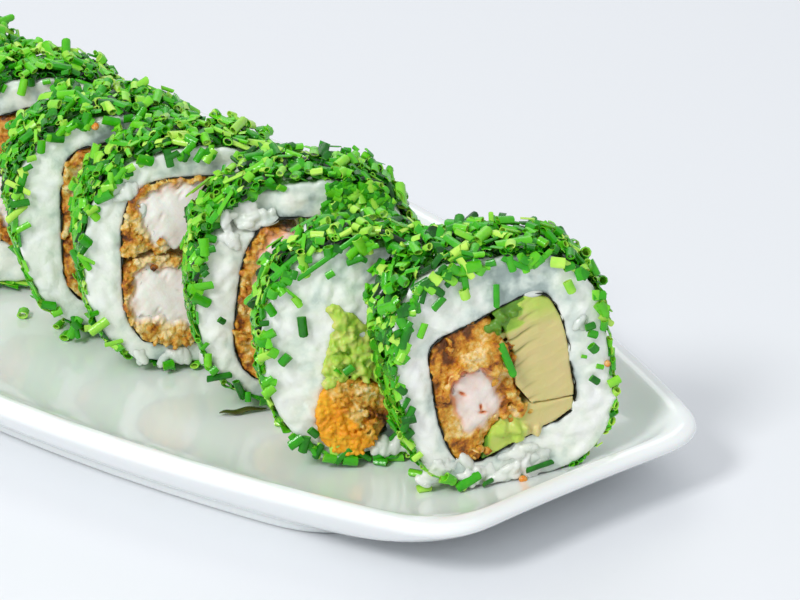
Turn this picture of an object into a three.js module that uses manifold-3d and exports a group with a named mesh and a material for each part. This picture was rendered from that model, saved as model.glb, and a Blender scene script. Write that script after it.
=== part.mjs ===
// Uramaki: one roll cut in eight, standing in a row on a boat-shaped porcelain plate.
//
// Millimetres, +Z up. The origin is the middle of the plate on the table, +X runs along the plate
// towards its near end, and +Y to its far side. Each cut roll has a frame of its own: X runs to the
// right across its cut face, Y up from the plate, and Z out of the face.

import * as THREE from 'three';
import * as BufferGeometryUtils from 'three/addons/utils/BufferGeometryUtils.js';
import Module from 'manifold-3d';

const wasm = await Module();
wasm.setup();

// ---------------------------------------------------------------- driving dimensions

const PLATE = {
  halfLength: 146, // to the middle of a corner; the end's edge is hollow by endHollow
  endHalfWidth: 33,
  midHalfWidth: 65,
  endHollow: 1.2,
  cornerRadius: 10,
  floor: 5.0, // top of the well's floor
};

// The plate's section as rings from the middle of the well over the rim to the middle of the base:
// [inset from the side, inset from the end, height].
const WELL_RINGS = [
  [30, 30, 5.0],
  [23, 23, 5.3],
  [15, 15, 6.6],
  [9, 9, 9.0],
  [5.4, 5.4, 12.2],
  [3.6, 3.6, 13.6],
  [0.8, 0.8, 13.3],
  [0, 0, 12.0],
];
const UNDER_RINGS = [
  [0.8, 1.4, 10.4],
  [4.0, 7.5, 6.8],
  [7.6, 15, 3.9],
  [10.6, 29, 2.4],
  [11, 30, 0],
  [14.4, 33.4, 0],
  [15, 34, 2.0],
];
const CORNER_GROWTH = 0.4; // how fast the corners round off towards the middle of the plate

const SPOKES = 24; // points round an outline
const GAP = 0.3; // clearance between pieces that touch
const LOOSE = 0.45; // the same where something passes through the end piece's mouth
const CLEAR = 6; // how far a cutter runs past what it cuts
const NORI = 0.7; // thickness of the seaweed
const ON_PLATE = 0.5; // the packed chives end this far above the well

// The chives: a packed layer round the rice, and cut lengths that lie on it.
const CHIVES = {
  layer: 1.0,
  radius: 1.1,
  perRoll: 16,
  shortest: 4,
  longest: 7.5,
  lowest: 0.25, // how far the middle of a cut length lies above the packed layer
  highest: 0.55,
  room: 0.4, // clearance kept to the plate and to the next roll
  fromEnds: 1.6, // distance of a middle from the roll's two faces
  overhang: 0.6, // how far one may stick out past a face
};

// The cut faces: how rough each is with grains, and how the edge of the rice rounds over.
const RICE_FACE = {
  grains: 1.3,
  grainsBehind: 1.1,
  sunk: 0.3, // the faces lie this far inside the roll's reach
  uneven: 0.8, // how much the outline wavers
  edgeInset: 0.9,
  edgeDepth: 1.8,
};
const NORI_SUNK = 0.5; // the seaweed ends this far inside both faces
const NOTCH = { depth: 3.6, halfAngle: 11 }; // a clump of rice that is missing from a face
const BAR_FACE = { prawn: 1.5, avocado: 0.7, sunk: 0.2, facet: 0.45 }; // roughness of the fillings

// A squircle is [centre across, centre up, half width, half height, squareness, lean, turn]: lean
// pushes the upper left and the lower right corner out, and turn is in degrees.
// reach is the roll's thickness behind its cut face, yaw the way the face looks, in degrees.
const ROLLS = [
  { at: [125.5, -1.3], yaw: -25, reach: 15.8, filling: 'pair',
    rice: [-0.1, 24.3, 20.9, 23, 3.3, 1.2, 3], nori: [-0.5, 22.6, 13.3, 14.5, 6, -1.2, 17] },
  { at: [101.7, -13.9], yaw: -34, reach: 11.5, filling: 'end',
    rice: [0.6, 23.9, 21.3, 22.2, 2.6, 0.6, 0], nori: [0.5, 22.5, 13, 16.5, 3, 0, 4] },
  { at: [74.4, -7.6], yaw: -32, reach: 16, filling: 'tall', notch: 128,
    rice: [1.2, 24.5, 22, 23.1, 2.5, 0, 0], nori: [1.3, 22.5, 14.2, 17.9, 3.3, 0, -7] },
  { at: [46.4, -13], yaw: -32, reach: 15, filling: 'stack',
    rice: [1, 24.3, 21.6, 23.1, 2.5, 0, 0], nori: [0.8, 23.6, 14, 18, 3.5, 0, 0] },
  { at: [25.1, -14.9], yaw: -30, reach: 16, filling: 'tall',
    rice: [2.2, 24.6, 21, 23.5, 2.5, 1.2, 0], nori: [3.6, 25.4, 13.8, 17.4, 4.5, 0, 0] },
  { at: [-4.3, -12.1], yaw: -33, reach: 16, filling: 'pair',
    rice: [0.5, 24, 22.4, 22.4, 2.5, 0, 0], nori: [1.5, 25.6, 13.4, 14.8, 3.5, 0, 14] },
  { at: [-35, -12], yaw: -34, reach: 16, filling: 'stack',
    rice: [0, 23.8, 21.6, 22.3, 2.6, 0.8, 0], nori: [0.4, 23.4, 13.4, 17, 3.2, 0, -3] },
  { at: [-62, -11], yaw: -32, reach: 16.5, filling: 'pair',
    rice: [0.4, 23.6, 22.2, 22.2, 2.4, -0.6, 0], nori: [0, 23.2, 14, 15.2, 4, 0, 9] },
];

// Outlines of the fillings on the cut face, from the middle of the seaweed, with the place where
// the facets of their faces meet. They run past the seaweed on purpose: each filling is cut off by
// the space that the seaweed leaves.
const FILLINGS = {
  pair: {
    prawn: {
      heart: [-6, -2],
      outline: [[-17, 7.5], [-5.2, 13.2], [-0.9, 9], [1.6, 1], [2.1, -5], [-2.6, -9.3], [-4.8, -18],
        [-12, -18], [-17, -6]],
    },
    avocado: {
      heart: [8, 6],
      outline: [[-4.2, 15], [0.4, 10], [2.6, 1.5], [3.3, -4.9], [17, -5], [18, 10], [9, 19], [-1, 19]],
    },
    slice: {
      heart: [5, -10],
      outline: [[-3.6, -12], [-1.4, -9.2], [3.6, -5.6], [17, -5.8], [16, -15], [4, -18], [-3.4, -17]],
    },
  },
  stack: {
    prawn: {
      heart: [-6, -9],
      outline: [[-17, -3], [-9, 1.5], [-3, 1], [1, -2.5], [1.6, -11], [-2, -19], [-12, -19], [-17, -11]],
    },
    prawn_top: {
      heart: [-5, 11],
      outline: [[-17, 1], [-9, 3], [-2.6, 3.2], [3, 7], [4.2, 14], [0, 20], [-10, 20], [-17, 12]],
    },
    avocado: {
      heart: [10.5, 0],
      outline: [[3, -2], [5.4, 6.5], [6.4, 14.5], [6, 20], [17, 17], [18, -14], [8, -20], [2.6, -18],
        [3.6, -11]],
    },
  },
  tall: {
    prawn: {
      heart: [-6, -2],
      outline: [[-17, -10], [-16, 13], [-9, 15.5], [-2, 14], [1, 6], [0.5, -4], [-1, -12], [-5, -20],
        [-13, -18]],
    },
    avocado: {
      heart: [9, 0],
      outline: [[-2, 20], [0.6, 15], [3.2, 6.5], [2.4, -4], [1, -13], [-2, -20], [10, -20], [17, -10],
        [17, 12], [8, 20]],
    },
  },
};

// The end piece: its rice closes over the front of the fillings, apart from a mouth where the
// prawn's tail and some avocado come out. The right of its face falls away.
const END_PIECE = {
  wall: 5, // rice in front of the seaweed
  fallFrom: -5, // where across the face it starts to fall away
  fall: 0.2, // mm for each mm across
  fitFront: 1.3, // the fillings inside start this far behind that wall
  stubStart: 2.3, // and their stubs this far
  mouth: [[-11, 11], [-9.6, 20], [-8.2, 29], [-5.6, 33.6], [-1, 31], [4, 24], [6, 15], [4.6, 7.5],
    [-2, 2.9], [-8.4, 4.8]],
  stubs: { // what comes out, and how far
    prawn: {
      out: 1.3,
      outline: [[-10.3, 11.6], [-8.4, 17.6], [-2.6, 18.6], [2.8, 15.6], [3.4, 10.4], [-0.4, 5], [-4.4, 3.6],
        [-8.4, 5.8]],
    },
    avocado: {
      out: 0.2,
      outline: [[-8.8, 20.4], [-7.2, 28.6], [-5, 32], [-1.4, 29.6], [3, 23.4], [4.8, 17.4], [-1.8, 19.8],
        [-6, 20]],
    },
  },
};

// Chives that lie on the faces: [roll, node they are fused to, across, up, angle, length].
const FACE_CHIVES = [
  [1, 'rice', -2.4, 41, 88, 4.6],
  [1, 'rice', 16.8, 30, 30, 3.2],
  [1, 'rice', 17.8, 21.8, 75, 3.4],
  [1, 'prawn', -2.6, 27.6, 112, 6],
  [2, 'rice', -8, 43.6, 37, 12],
  [2, 'rice', -14.4, 34, 105, 6.5],
  [2, 'rice', -17.2, 24.6, 146, 3],
];

const COLOURS = {
  plate: 0xf4f6f5,
  rice: 0xeef0ec,
  nori: 0x1c1f1a,
  prawn: 0xd9944a,
  avocado: 0xcfc57c,
};
const ROUGHNESS = { plate: 0.12, rice: 0.5, nori: 0.6, prawn: 0.7, avocado: 0.5 };

// ---------------------------------------------------------------- small tools

// A repeatable stream of numbers from 0 to 1.
function seeded(seed) {
  let state = seed;
  return () => {
    state = (state + 0x6d2b79f5) | 0;
    let t = Math.imul(state ^ (state >>> 15), 1 | state);
    t = (t + Math.imul(t ^ (t >>> 7), 61 | t)) ^ t;
    return ((t ^ (t >>> 14)) >>> 0) / 4294967296;
  };
}

// Joins rings of equal length into a closed skin. A loop of rings makes a hoop; otherwise the first
// and the last ring are each closed by a fan to their middle.
function skin(rings, loop = false) {
  const count = rings[0].length;
  const positions = rings.flat().flatMap((p) => [p.x, p.y, p.z]);
  const index = [];
  const bands = loop ? rings.length : rings.length - 1;
  for (let band = 0; band < bands; band += 1) {
    const here = band * count;
    const there = ((band + 1) % rings.length) * count;
    for (let k = 0; k < count; k += 1) {
      const next = (k + 1) % count;
      index.push(here + k, here + next, there + next, here + k, there + next, there + k);
    }
  }
  if (!loop) {
    for (const [ring, turn] of [[0, true], [rings.length - 1, false]]) {
      const middle = rings[ring].reduce((sum, p) => sum.add(p), new THREE.Vector3()).divideScalar(count);
      const centre = positions.length / 3;
      positions.push(middle.x, middle.y, middle.z);
      for (let k = 0; k < count; k += 1) {
        const a = ring * count + k;
        const b = ring * count + ((k + 1) % count);
        index.push(...(turn ? [centre, b, a] : [centre, a, b]));
      }
    }
  }
  const geometry = new THREE.BufferGeometry();
  geometry.setAttribute('position', new THREE.Float32BufferAttribute(positions, 3));
  geometry.setIndex(index);
  if (signedVolume(geometry) < 0) geometry.setIndex(index.slice().reverse());
  return geometry;
}

function signedVolume(geometry) {
  const position = geometry.getAttribute('position');
  const index = geometry.getIndex();
  const [a, b, c] = [new THREE.Vector3(), new THREE.Vector3(), new THREE.Vector3()];
  let volume = 0;
  for (let k = 0; k < index.count; k += 3) {
    a.fromBufferAttribute(position, index.getX(k));
    b.fromBufferAttribute(position, index.getX(k + 1));
    c.fromBufferAttribute(position, index.getX(k + 2));
    volume += a.dot(b.cross(c)) / 6;
  }
  return volume;
}

function toSolid(geometry) {
  return new wasm.Manifold(new wasm.Mesh({
    numProp: 3,
    vertProperties: new Float32Array(geometry.getAttribute('position').array),
    triVerts: new Uint32Array(geometry.getIndex().array),
  }));
}

function toGeometry(solid) {
  const mesh = solid.getMesh();
  const geometry = new THREE.BufferGeometry();
  geometry.setAttribute('position', new THREE.Float32BufferAttribute(Array.from(mesh.vertProperties), 3));
  geometry.setIndex(Array.from(mesh.triVerts));
  return geometry;
}

// The largest closed piece of a solid, without loose scraps.
function mainPiece(solid) {
  const pieces = solid.decompose();
  return pieces.reduce((best, piece) => (piece.volume() > best.volume() ? piece : best));
}

// ---------------------------------------------------------------- outlines on a cut face

// The distance from a squircle's middle to its edge, at an angle in radians.
function squircleRadius([, , halfWidth, halfHeight, squareness, lean, turn], angle) {
  const own = angle - THREE.MathUtils.degToRad(turn);
  const across = Math.abs(Math.cos(own) / halfWidth) ** squareness;
  const up = Math.abs(Math.sin(own) / halfHeight) ** squareness;
  return (across + up) ** (-1 / squareness) - lean * Math.sin(2 * angle);
}

// Points round a squircle, grown outwards by a distance, which may differ from spoke to spoke.
function squircle(shape, grow = 0) {
  return Array.from({ length: SPOKES }, (_, k) => {
    const angle = (2 * Math.PI * k) / SPOKES;
    const radius = squircleRadius(shape, angle) + (typeof grow === 'function' ? grow(k) : grow);
    return new THREE.Vector2(shape[0] + radius * Math.cos(angle), shape[1] + radius * Math.sin(angle));
  });
}

// A smooth closed outline through a few points, moved to a middle.
function smooth(points, middle, count) {
  const through = points.map(([u, v]) => new THREE.Vector3(u + middle[0], v + middle[1], 0));
  const curve = new THREE.CatmullRomCurve3(through, true, 'catmullrom', 0.5);
  return curve.getPoints(count).slice(0, count).map((p) => new THREE.Vector2(p.x, p.y));
}

function atHeight(outline, z) {
  return outline.map((p) => new THREE.Vector3(p.x, p.y, z));
}

function towards(outline, middle, share) {
  return outline.map((p) => p.clone().lerp(middle, share));
}

// The outline pushed outwards, or inwards by a negative distance, along its own normals.
function grown(outline, by) {
  const count = outline.length;
  const side = THREE.ShapeUtils.isClockWise(outline) ? -by : by;
  return outline.map((p, k) => {
    const along = outline[(k + 1) % count].clone().sub(outline[(k + count - 1) % count]).normalize();
    return new THREE.Vector2(p.x + along.y * side, p.y - along.x * side);
  });
}

// A straight prism of an outline, to cut with.
function prism(outline, from, to) {
  return skin([atHeight(outline, from), atHeight(outline, to)]);
}

// ---------------------------------------------------------------- the plate

function halfWidthAt(x, end, middle) {
  return end + (middle - end) * (1 - (x / PLATE.halfLength) ** 2);
}

// The plate's outline inset by a distance: bowed sides, hollow ends and rounded corners.
function plateOutline(sideInset, endInset) {
  const side = 6;
  const corner = 3;
  const end = 2;
  const length = PLATE.halfLength - endInset;
  const halfWidth = (x) => halfWidthAt(x, PLATE.endHalfWidth, PLATE.midHalfWidth) - sideInset;
  const round = Math.min(PLATE.cornerRadius + CORNER_GROWTH * sideInset, halfWidth(length) - 1);
  const endX = (y) => length - PLATE.endHollow * (1 - (y / halfWidth(length)) ** 2);
  const quarter = [];
  for (let k = 0; k <= side; k += 1) {
    const x = (length - round) * (k / side);
    quarter.push([x, halfWidth(x)]);
  }
  const from = new THREE.Vector2(length - round, halfWidth(length - round));
  const over = new THREE.Vector2(length, halfWidth(length));
  const toY = halfWidth(length) - round;
  const to = new THREE.Vector2(endX(toY), toY);
  const bend = new THREE.QuadraticBezierCurve(from, over, to);
  for (let k = 1; k <= corner; k += 1) quarter.push(bend.getPoint(k / corner).toArray());
  for (let k = 1; k <= end; k += 1) {
    const y = toY * (1 - k / end);
    quarter.push([endX(y), y]);
  }
  const half = [...quarter, ...quarter.slice(0, -1).reverse().map(([x, y]) => [x, -y])];
  const other = half.slice(1, -1).reverse().map(([x, y]) => [-x, y]);
  return [...half, ...other].map(([x, y]) => new THREE.Vector2(x, y));
}

function plateGeometry() {
  const rings = [...WELL_RINGS, ...UNDER_RINGS];
  return skin(rings.map(([side, end, height]) => atHeight(plateOutline(side, end), height)));
}

// The height of the well's surface under a place on the plate.
function wellHeight(x, y) {
  const fromSide = halfWidthAt(x, PLATE.endHalfWidth, PLATE.midHalfWidth) - Math.abs(y);
  const fromEnd = PLATE.halfLength - PLATE.endHollow - Math.abs(x);
  const inset = Math.min(fromSide, fromEnd);
  for (let k = 1; k < WELL_RINGS.length; k += 1) {
    const [outer, , high] = WELL_RINGS[k];
    const [inner, , low] = WELL_RINGS[k - 1];
    if (inset >= outer) {
      return THREE.MathUtils.mapLinear(Math.min(inset, inner), outer, inner, high, low);
    }
  }
  return PLATE.floor;
}

// ---------------------------------------------------------------- one cut roll

// Nested groups turn the roll's own frame into the plate's: X to the right, Y up, Z out of the face.
function rollFrame(roll) {
  const outer = new THREE.Group();
  outer.position.set(roll.at[0], roll.at[1], PLATE.floor);
  outer.rotation.z = THREE.MathUtils.degToRad(roll.yaw + 90);
  const inner = new THREE.Group();
  inner.rotation.x = Math.PI / 2;
  outer.add(inner);
  outer.updateMatrixWorld(true);
  return { outer, inner, matrix: inner.matrixWorld.clone() };
}

// Lifts what would sink into the well, in the plate's own shape.
function liftOffPlate(points, matrix) {
  for (const point of points) {
    const place = point.clone().applyMatrix4(matrix);
    const lowest = wellHeight(place.x, place.y) - PLATE.floor + ON_PLATE;
    point.y = Math.max(point.y, lowest);
  }
  return points;
}

// How far the end piece's face falls away at a place.
function endFall(u) {
  return END_PIECE.fall * Math.max(0, u - END_PIECE.fallFrom);
}

// How far the rice's face stands out at a place: grains, the end piece's fall, and a missing clump.
function faceRelief(roll, random, u, angle) {
  const grain = (random() - 0.5) * RICE_FACE.grains;
  const fall = roll.filling === 'end' ? endFall(u) : 0;
  if (roll.notch === undefined) return grain - fall;
  const away = (THREE.MathUtils.radToDeg(angle) - roll.notch) / NOTCH.halfAngle;
  return grain - fall - NOTCH.depth * Math.exp(-(away ** 2));
}

// The rice with its coat of chives: a hoop round the seaweed, its faces rough with grains. The end
// piece is a block that is hollowed from behind, and opened by a mouth in front.
function riceCore(roll, matrix, random) {
  const middle = new THREE.Vector2(roll.nori[0], roll.nori[1]);
  const uneven = Array.from({ length: SPOKES }, () => (random() - 0.5) * RICE_FACE.uneven);
  const outer = squircle(roll.rice, (k) => CHIVES.layer + uneven[k]);
  const edge = squircle(roll.rice, (k) => CHIVES.layer - RICE_FACE.edgeInset + uneven[k]);
  const hole = squircle(roll.nori, GAP);
  const isEnd = roll.filling === 'end';
  const inside = isEnd ? towards(hole, middle, 0.75) : hole;
  const between = (share) => edge.map((p, k) => p.clone().lerp(inside[k], share));
  const front = [0, 0.5, 1].map((share) => between(share).map((p, k) => {
    const out = faceRelief(roll, random, p.x, (2 * Math.PI * k) / SPOKES);
    return new THREE.Vector3(p.x, p.y, out - RICE_FACE.sunk);
  }));
  const back = [1, 0].map((share) => between(share).map((p) => {
    const out = (random() - 0.5) * RICE_FACE.grainsBehind;
    return new THREE.Vector3(p.x, p.y, -roll.reach + RICE_FACE.sunk - out);
  }));
  const shoulderFall = (p) => RICE_FACE.edgeDepth + (isEnd ? endFall(p.x) : 0);
  const shoulder = outer.map((p) => new THREE.Vector3(p.x, p.y, -shoulderFall(p)));
  const heel = atHeight(outer, -roll.reach + RICE_FACE.edgeDepth);
  const rings = [shoulder, ...front, ...back, heel];
  rings.forEach((ring) => liftOffPlate(ring, matrix));
  if (!isEnd) return toSolid(skin(rings, true));
  const block = skin([...front.slice().reverse(), shoulder, heel, ...back.slice().reverse()]);
  const hollow = prism(hole, -roll.reach - CLEAR, -END_PIECE.wall);
  const mouth = prism(smooth(END_PIECE.mouth, [0, 0], 14), -END_PIECE.wall - 1, CLEAR);
  return toSolid(block).subtract(toSolid(hollow)).subtract(toSolid(mouth));
}

function noriGeometry(roll) {
  const outer = squircle(roll.nori);
  const inner = squircle(roll.nori, -NORI);
  const front = roll.filling === 'end' ? -END_PIECE.wall - GAP : -NORI_SUNK;
  const back = -roll.reach + NORI_SUNK;
  const rings = [[outer, front], [inner, front], [inner, back], [outer, back]];
  return skin(rings.map(([outline, z]) => atHeight(outline, z)), true);
}

// A filling: a bar of the given outline with two rough faces, cut to the space left for it.
function filling(outline, heart, space, front, back, rough, random) {
  const face = (share, z, sign) => towards(outline, heart, share)
    .map((p) => new THREE.Vector3(p.x, p.y, z + sign * (random() - 0.5) * rough));
  const bar = skin([
    face(BAR_FACE.facet, front, 1),
    face(0, front, 1),
    face(0, back, -1),
  ]);
  return toSolid(bar).intersect(space);
}

// A cut length of chive, lying on the given axis.
function chiveGeometry(place, direction, length, radius) {
  const rod = new THREE.CylinderGeometry(radius, radius, length, 5);
  rod.deleteAttribute('normal');
  rod.deleteAttribute('uv');
  const turn = new THREE.Quaternion().setFromUnitVectors(new THREE.Vector3(0, 1, 0), direction);
  rod.applyQuaternion(turn);
  rod.translate(place.x, place.y, place.z);
  return BufferGeometryUtils.mergeVertices(rod, 1e-4);
}

function moved(geometry, matrix) {
  return geometry.clone().applyMatrix4(matrix);
}

// Fuses chives to the outside of the rice, spread evenly round it and along it. One that would
// come near the plate or a neighbour is left out.
function coatWithChives(core, roll, matrix, obstacles, random) {
  const roundStep = 0.618034; // shares of a turn and of the reach that never fall into rows
  const alongStep = 0.7548777;
  const rods = [];
  for (let tries = 0; rods.length < CHIVES.perRoll && tries < 3 * CHIVES.perRoll; tries += 1) {
    const angle = 2 * Math.PI * ((tries * roundStep) % 1);
    const share = (tries * alongStep + random() * 0.1) % 1;
    const above = THREE.MathUtils.lerp(CHIVES.lowest, CHIVES.highest, random());
    const radius = squircleRadius(roll.rice, angle) + CHIVES.layer + above;
    const length = THREE.MathUtils.lerp(CHIVES.shortest, CHIVES.longest, random());
    const swing = random() * Math.PI;
    const tilt = (random() - 0.5) * 0.5;
    const tangent = new THREE.Vector3(-Math.sin(angle), Math.cos(angle), 0);
    const outwards = new THREE.Vector3(Math.cos(angle), Math.sin(angle), 0);
    const direction = tangent.multiplyScalar(Math.cos(swing))
      .add(new THREE.Vector3(0, 0, Math.sin(swing)))
      .add(outwards.clone().multiplyScalar(tilt))
      .normalize();
    const half = Math.abs(direction.z) * (length / 2);
    const depth = CHIVES.fromEnds + (roll.reach - 2 * CHIVES.fromEnds) * share;
    const place = outwards.multiplyScalar(radius);
    place.x += roll.rice[0];
    place.y += roll.rice[1];
    place.z = THREE.MathUtils.clamp(-depth, -roll.reach + half - CHIVES.overhang, CHIVES.overhang - half);
    const around = chiveGeometry(place, direction, length + 2 * CHIVES.room, CHIVES.radius + CHIVES.room);
    const room = toSolid(moved(around, matrix));
    if (obstacles.some((solid) => !room.intersect(solid).isEmpty())) continue;
    rods.push(toSolid(chiveGeometry(place, direction, length, CHIVES.radius)));
  }
  return rods.reduce((whole, rod) => whole.add(rod), core);
}

// Chives that lie flat on a face, partly sunk in it.
function faceChives(number, node) {
  const middle = CHIVES.radius / 2;
  return FACE_CHIVES.filter(([roll, on]) => roll === number && on === node)
    .map(([, , u, v, degrees, length]) => {
      const angle = THREE.MathUtils.degToRad(degrees);
      const direction = new THREE.Vector3(Math.cos(angle), Math.sin(angle), 0);
      return toSolid(chiveGeometry(new THREE.Vector3(u, v, middle), direction, length, CHIVES.radius));
    });
}

// What comes out of the end piece's mouth: a stub that starts in the seaweed's inside and passes
// through the rice, cut to both.
function stub(outline, inside, mouth, out) {
  const start = -END_PIECE.wall - END_PIECE.stubStart;
  const falling = atHeight(outline, out).map((p) => p.setZ(out - endFall(p.x)));
  const bar = toSolid(skin([falling, atHeight(outline, start)]));
  const passage = mouthPrism(start, -END_PIECE.wall + LOOSE);
  return bar.intersect(mouth).add(bar.intersect(inside).intersect(passage));
}

function mouthPrism(from, to) {
  return toSolid(prism(grown(smooth(END_PIECE.mouth, [0, 0], 14), -LOOSE), from, to));
}

// The fillings of one roll as solids by name, in its own frame.
function rollFillings(roll, number, random) {
  const isEnd = roll.filling === 'end';
  const shapes = isEnd ? FILLINGS.pair : FILLINGS[roll.filling];
  const stubs = isEnd ? END_PIECE.stubs : {};
  const middle = [roll.nori[0], roll.nori[1]];
  const behind = -roll.reach - CLEAR;
  const front = isEnd ? -END_PIECE.wall - END_PIECE.fitFront : -BAR_FACE.sunk;
  const back = -roll.reach + 2 * BAR_FACE.sunk;
  let space = toSolid(prism(squircle(roll.nori, -NORI - GAP), behind, CLEAR));
  let mouth = mouthPrism(-END_PIECE.wall, CLEAR);
  const solids = {};
  for (const [name, shape] of Object.entries(shapes)) {
    const isPrawn = name.startsWith('prawn');
    const outline = smooth(shape.outline, middle, isPrawn ? 12 : 10);
    const heart = new THREE.Vector2(shape.heart[0] + middle[0], shape.heart[1] + middle[1]);
    const rough = isPrawn ? BAR_FACE.prawn : BAR_FACE.avocado;
    let piece = filling(outline, heart, space, front, back, rough, random);
    let cutter = toSolid(prism(grown(outline, GAP), behind, CLEAR));
    if (stubs[name]) {
      const mouthful = smooth(stubs[name].outline, [0, 0], 12);
      piece = piece.add(stub(mouthful, space, mouth, stubs[name].out));
      const start = -END_PIECE.wall - END_PIECE.stubStart - LOOSE;
      const around = toSolid(prism(grown(mouthful, LOOSE), start, CLEAR));
      mouth = mouth.subtract(around);
      cutter = cutter.add(around);
    }
    space = space.subtract(cutter);
    for (const rod of faceChives(number, name)) piece = piece.add(rod);
    solids[name] = mainPiece(piece);
  }
  return solids;
}

// ---------------------------------------------------------------- the whole

function named(name, geometry, kind) {
  const material = new THREE.MeshStandardMaterial({
    color: COLOURS[kind],
    roughness: ROUGHNESS[kind],
    metalness: 0,
    flatShading: true,
  });
  const mesh = new THREE.Mesh(geometry, material);
  mesh.name = name;
  return mesh;
}

const whole = new THREE.Group();
const plate = plateGeometry();
whole.add(named('plate', plate, 'plate'));
const plateSolid = toSolid(plate);

const randoms = ROLLS.map((_, k) => seeded(101 + 17 * k));
const frames = ROLLS.map(rollFrame);
const cores = ROLLS.map((roll, k) => riceCore(roll, frames[k].matrix, randoms[k]));
const placed = cores.map((core, k) => toSolid(moved(toGeometry(core), frames[k].matrix)));

ROLLS.forEach((roll, k) => {
  const number = k + 1;
  const { outer, inner, matrix } = frames[k];
  const random = randoms[k];
  const obstacles = [plateSolid, placed[k - 1], placed[k + 1]].filter(Boolean);
  const coated = coatWithChives(cores[k], roll, matrix, obstacles, random);
  const rice = mainPiece(faceChives(number, 'rice').reduce((sum, rod) => sum.add(rod), coated));
  placed[k] = toSolid(moved(toGeometry(rice), matrix));
  inner.add(named(`rice_${number}`, toGeometry(rice), 'rice'));
  inner.add(named(`nori_${number}`, noriGeometry(roll), 'nori'));
  for (const [name, solid] of Object.entries(rollFillings(roll, number, random))) {
    const kind = name.startsWith('prawn') ? 'prawn' : 'avocado';
    inner.add(named(`${name}_${number}`, toGeometry(solid), kind));
  }
  whole.add(outer);
});

export default whole;
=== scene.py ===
# %% [markdown]
# # Uramaki on a boat plate
#
# Eight pieces cut from one inside-out roll: rice outside in a coat of chopped chives, a sheet of
# roasted seaweed inside it, and fried prawn with avocado in the middle. They stand on edge in a row
# on a long glazed plate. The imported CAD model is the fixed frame. This file dresses it, piece by
# piece, and every new piece stands for one of its solids or lies on one.

# %% Frame
import math

import bpy
import numpy as np
from mathutils import Matrix, Vector


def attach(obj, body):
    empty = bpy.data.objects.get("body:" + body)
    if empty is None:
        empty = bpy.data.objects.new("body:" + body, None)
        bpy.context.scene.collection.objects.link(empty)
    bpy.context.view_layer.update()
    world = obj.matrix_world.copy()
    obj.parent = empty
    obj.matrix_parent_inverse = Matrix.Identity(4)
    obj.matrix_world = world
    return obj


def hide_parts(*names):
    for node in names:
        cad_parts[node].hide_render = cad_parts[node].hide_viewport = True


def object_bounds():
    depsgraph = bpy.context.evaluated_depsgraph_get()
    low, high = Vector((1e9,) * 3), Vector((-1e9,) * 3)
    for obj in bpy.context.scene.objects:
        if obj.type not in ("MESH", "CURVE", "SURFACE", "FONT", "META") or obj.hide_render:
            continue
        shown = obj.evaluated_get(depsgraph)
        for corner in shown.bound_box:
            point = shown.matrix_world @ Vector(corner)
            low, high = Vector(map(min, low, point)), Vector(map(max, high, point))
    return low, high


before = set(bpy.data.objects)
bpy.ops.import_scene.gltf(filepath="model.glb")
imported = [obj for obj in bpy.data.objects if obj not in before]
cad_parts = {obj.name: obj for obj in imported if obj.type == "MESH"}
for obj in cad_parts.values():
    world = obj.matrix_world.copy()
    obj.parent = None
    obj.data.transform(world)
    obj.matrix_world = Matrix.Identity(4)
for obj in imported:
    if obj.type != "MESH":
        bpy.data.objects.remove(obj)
cad_low, cad_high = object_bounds()
MM = 0.001
TO_METRES = Matrix.Scale(MM, 4)
print("frame:", len(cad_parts), "solids,",
      [round((b - a) / MM) for a, b in zip(cad_low, cad_high)], "mm")

# %% [markdown]
# A camera could be dragged into place and its numbers read off. Here it is worked out from two
# angles, a distance and the point it looks at, so each can be changed alone. The lens is long and
# stands well back, which keeps the far rolls nearly as large as the near ones.

# %% Camera
CAMERA_AZIMUTH = math.radians(48.2)
CAMERA_ELEVATION = math.radians(24.6)
CAMERA_DISTANCE = 1.016
CAMERA_AIM = Vector((0.0816, 0.0113, 0.025))
HALF_WIDTH = 400  # in pixels, half of a render 800 wide
FOCAL_LENGTH = 5218  # in the same pixels
FIELD_OF_VIEW = 2 * math.atan(HALF_WIDTH / FOCAL_LENGTH)  # across the whole width


def aim_camera():
    """A long lens, close to level with the food, that looks along the row from its near end."""
    forward = Vector((
        -math.sin(CAMERA_AZIMUTH) * math.cos(CAMERA_ELEVATION),
        math.cos(CAMERA_AZIMUTH) * math.cos(CAMERA_ELEVATION),
        -math.sin(CAMERA_ELEVATION),
    ))
    bpy.ops.object.camera_add(location=CAMERA_AIM - forward * CAMERA_DISTANCE)
    camera = bpy.context.object
    camera.rotation_euler = forward.to_track_quat("-Z", "Y").to_euler()
    camera.data.angle = FIELD_OF_VIEW
    camera.data.clip_start = 0.01
    bpy.context.scene.camera = camera


aim_camera()
print("camera:", CAMERA_DISTANCE, "m from the food,", round(math.degrees(FIELD_OF_VIEW), 1), "degrees wide")

# %% [markdown]
# Each cut roll is easiest to shape lying in front of you: X to the right across its cut face, Y up
# and Z out of the face, in millimetres. These are the same places and outlines as the solids have,
# and a matrix stands each finished piece in its place on the plate. An outline is a squircle: its
# squareness says how boxy it is, lean pushes the upper left and lower right out, turn is degrees.

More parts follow.
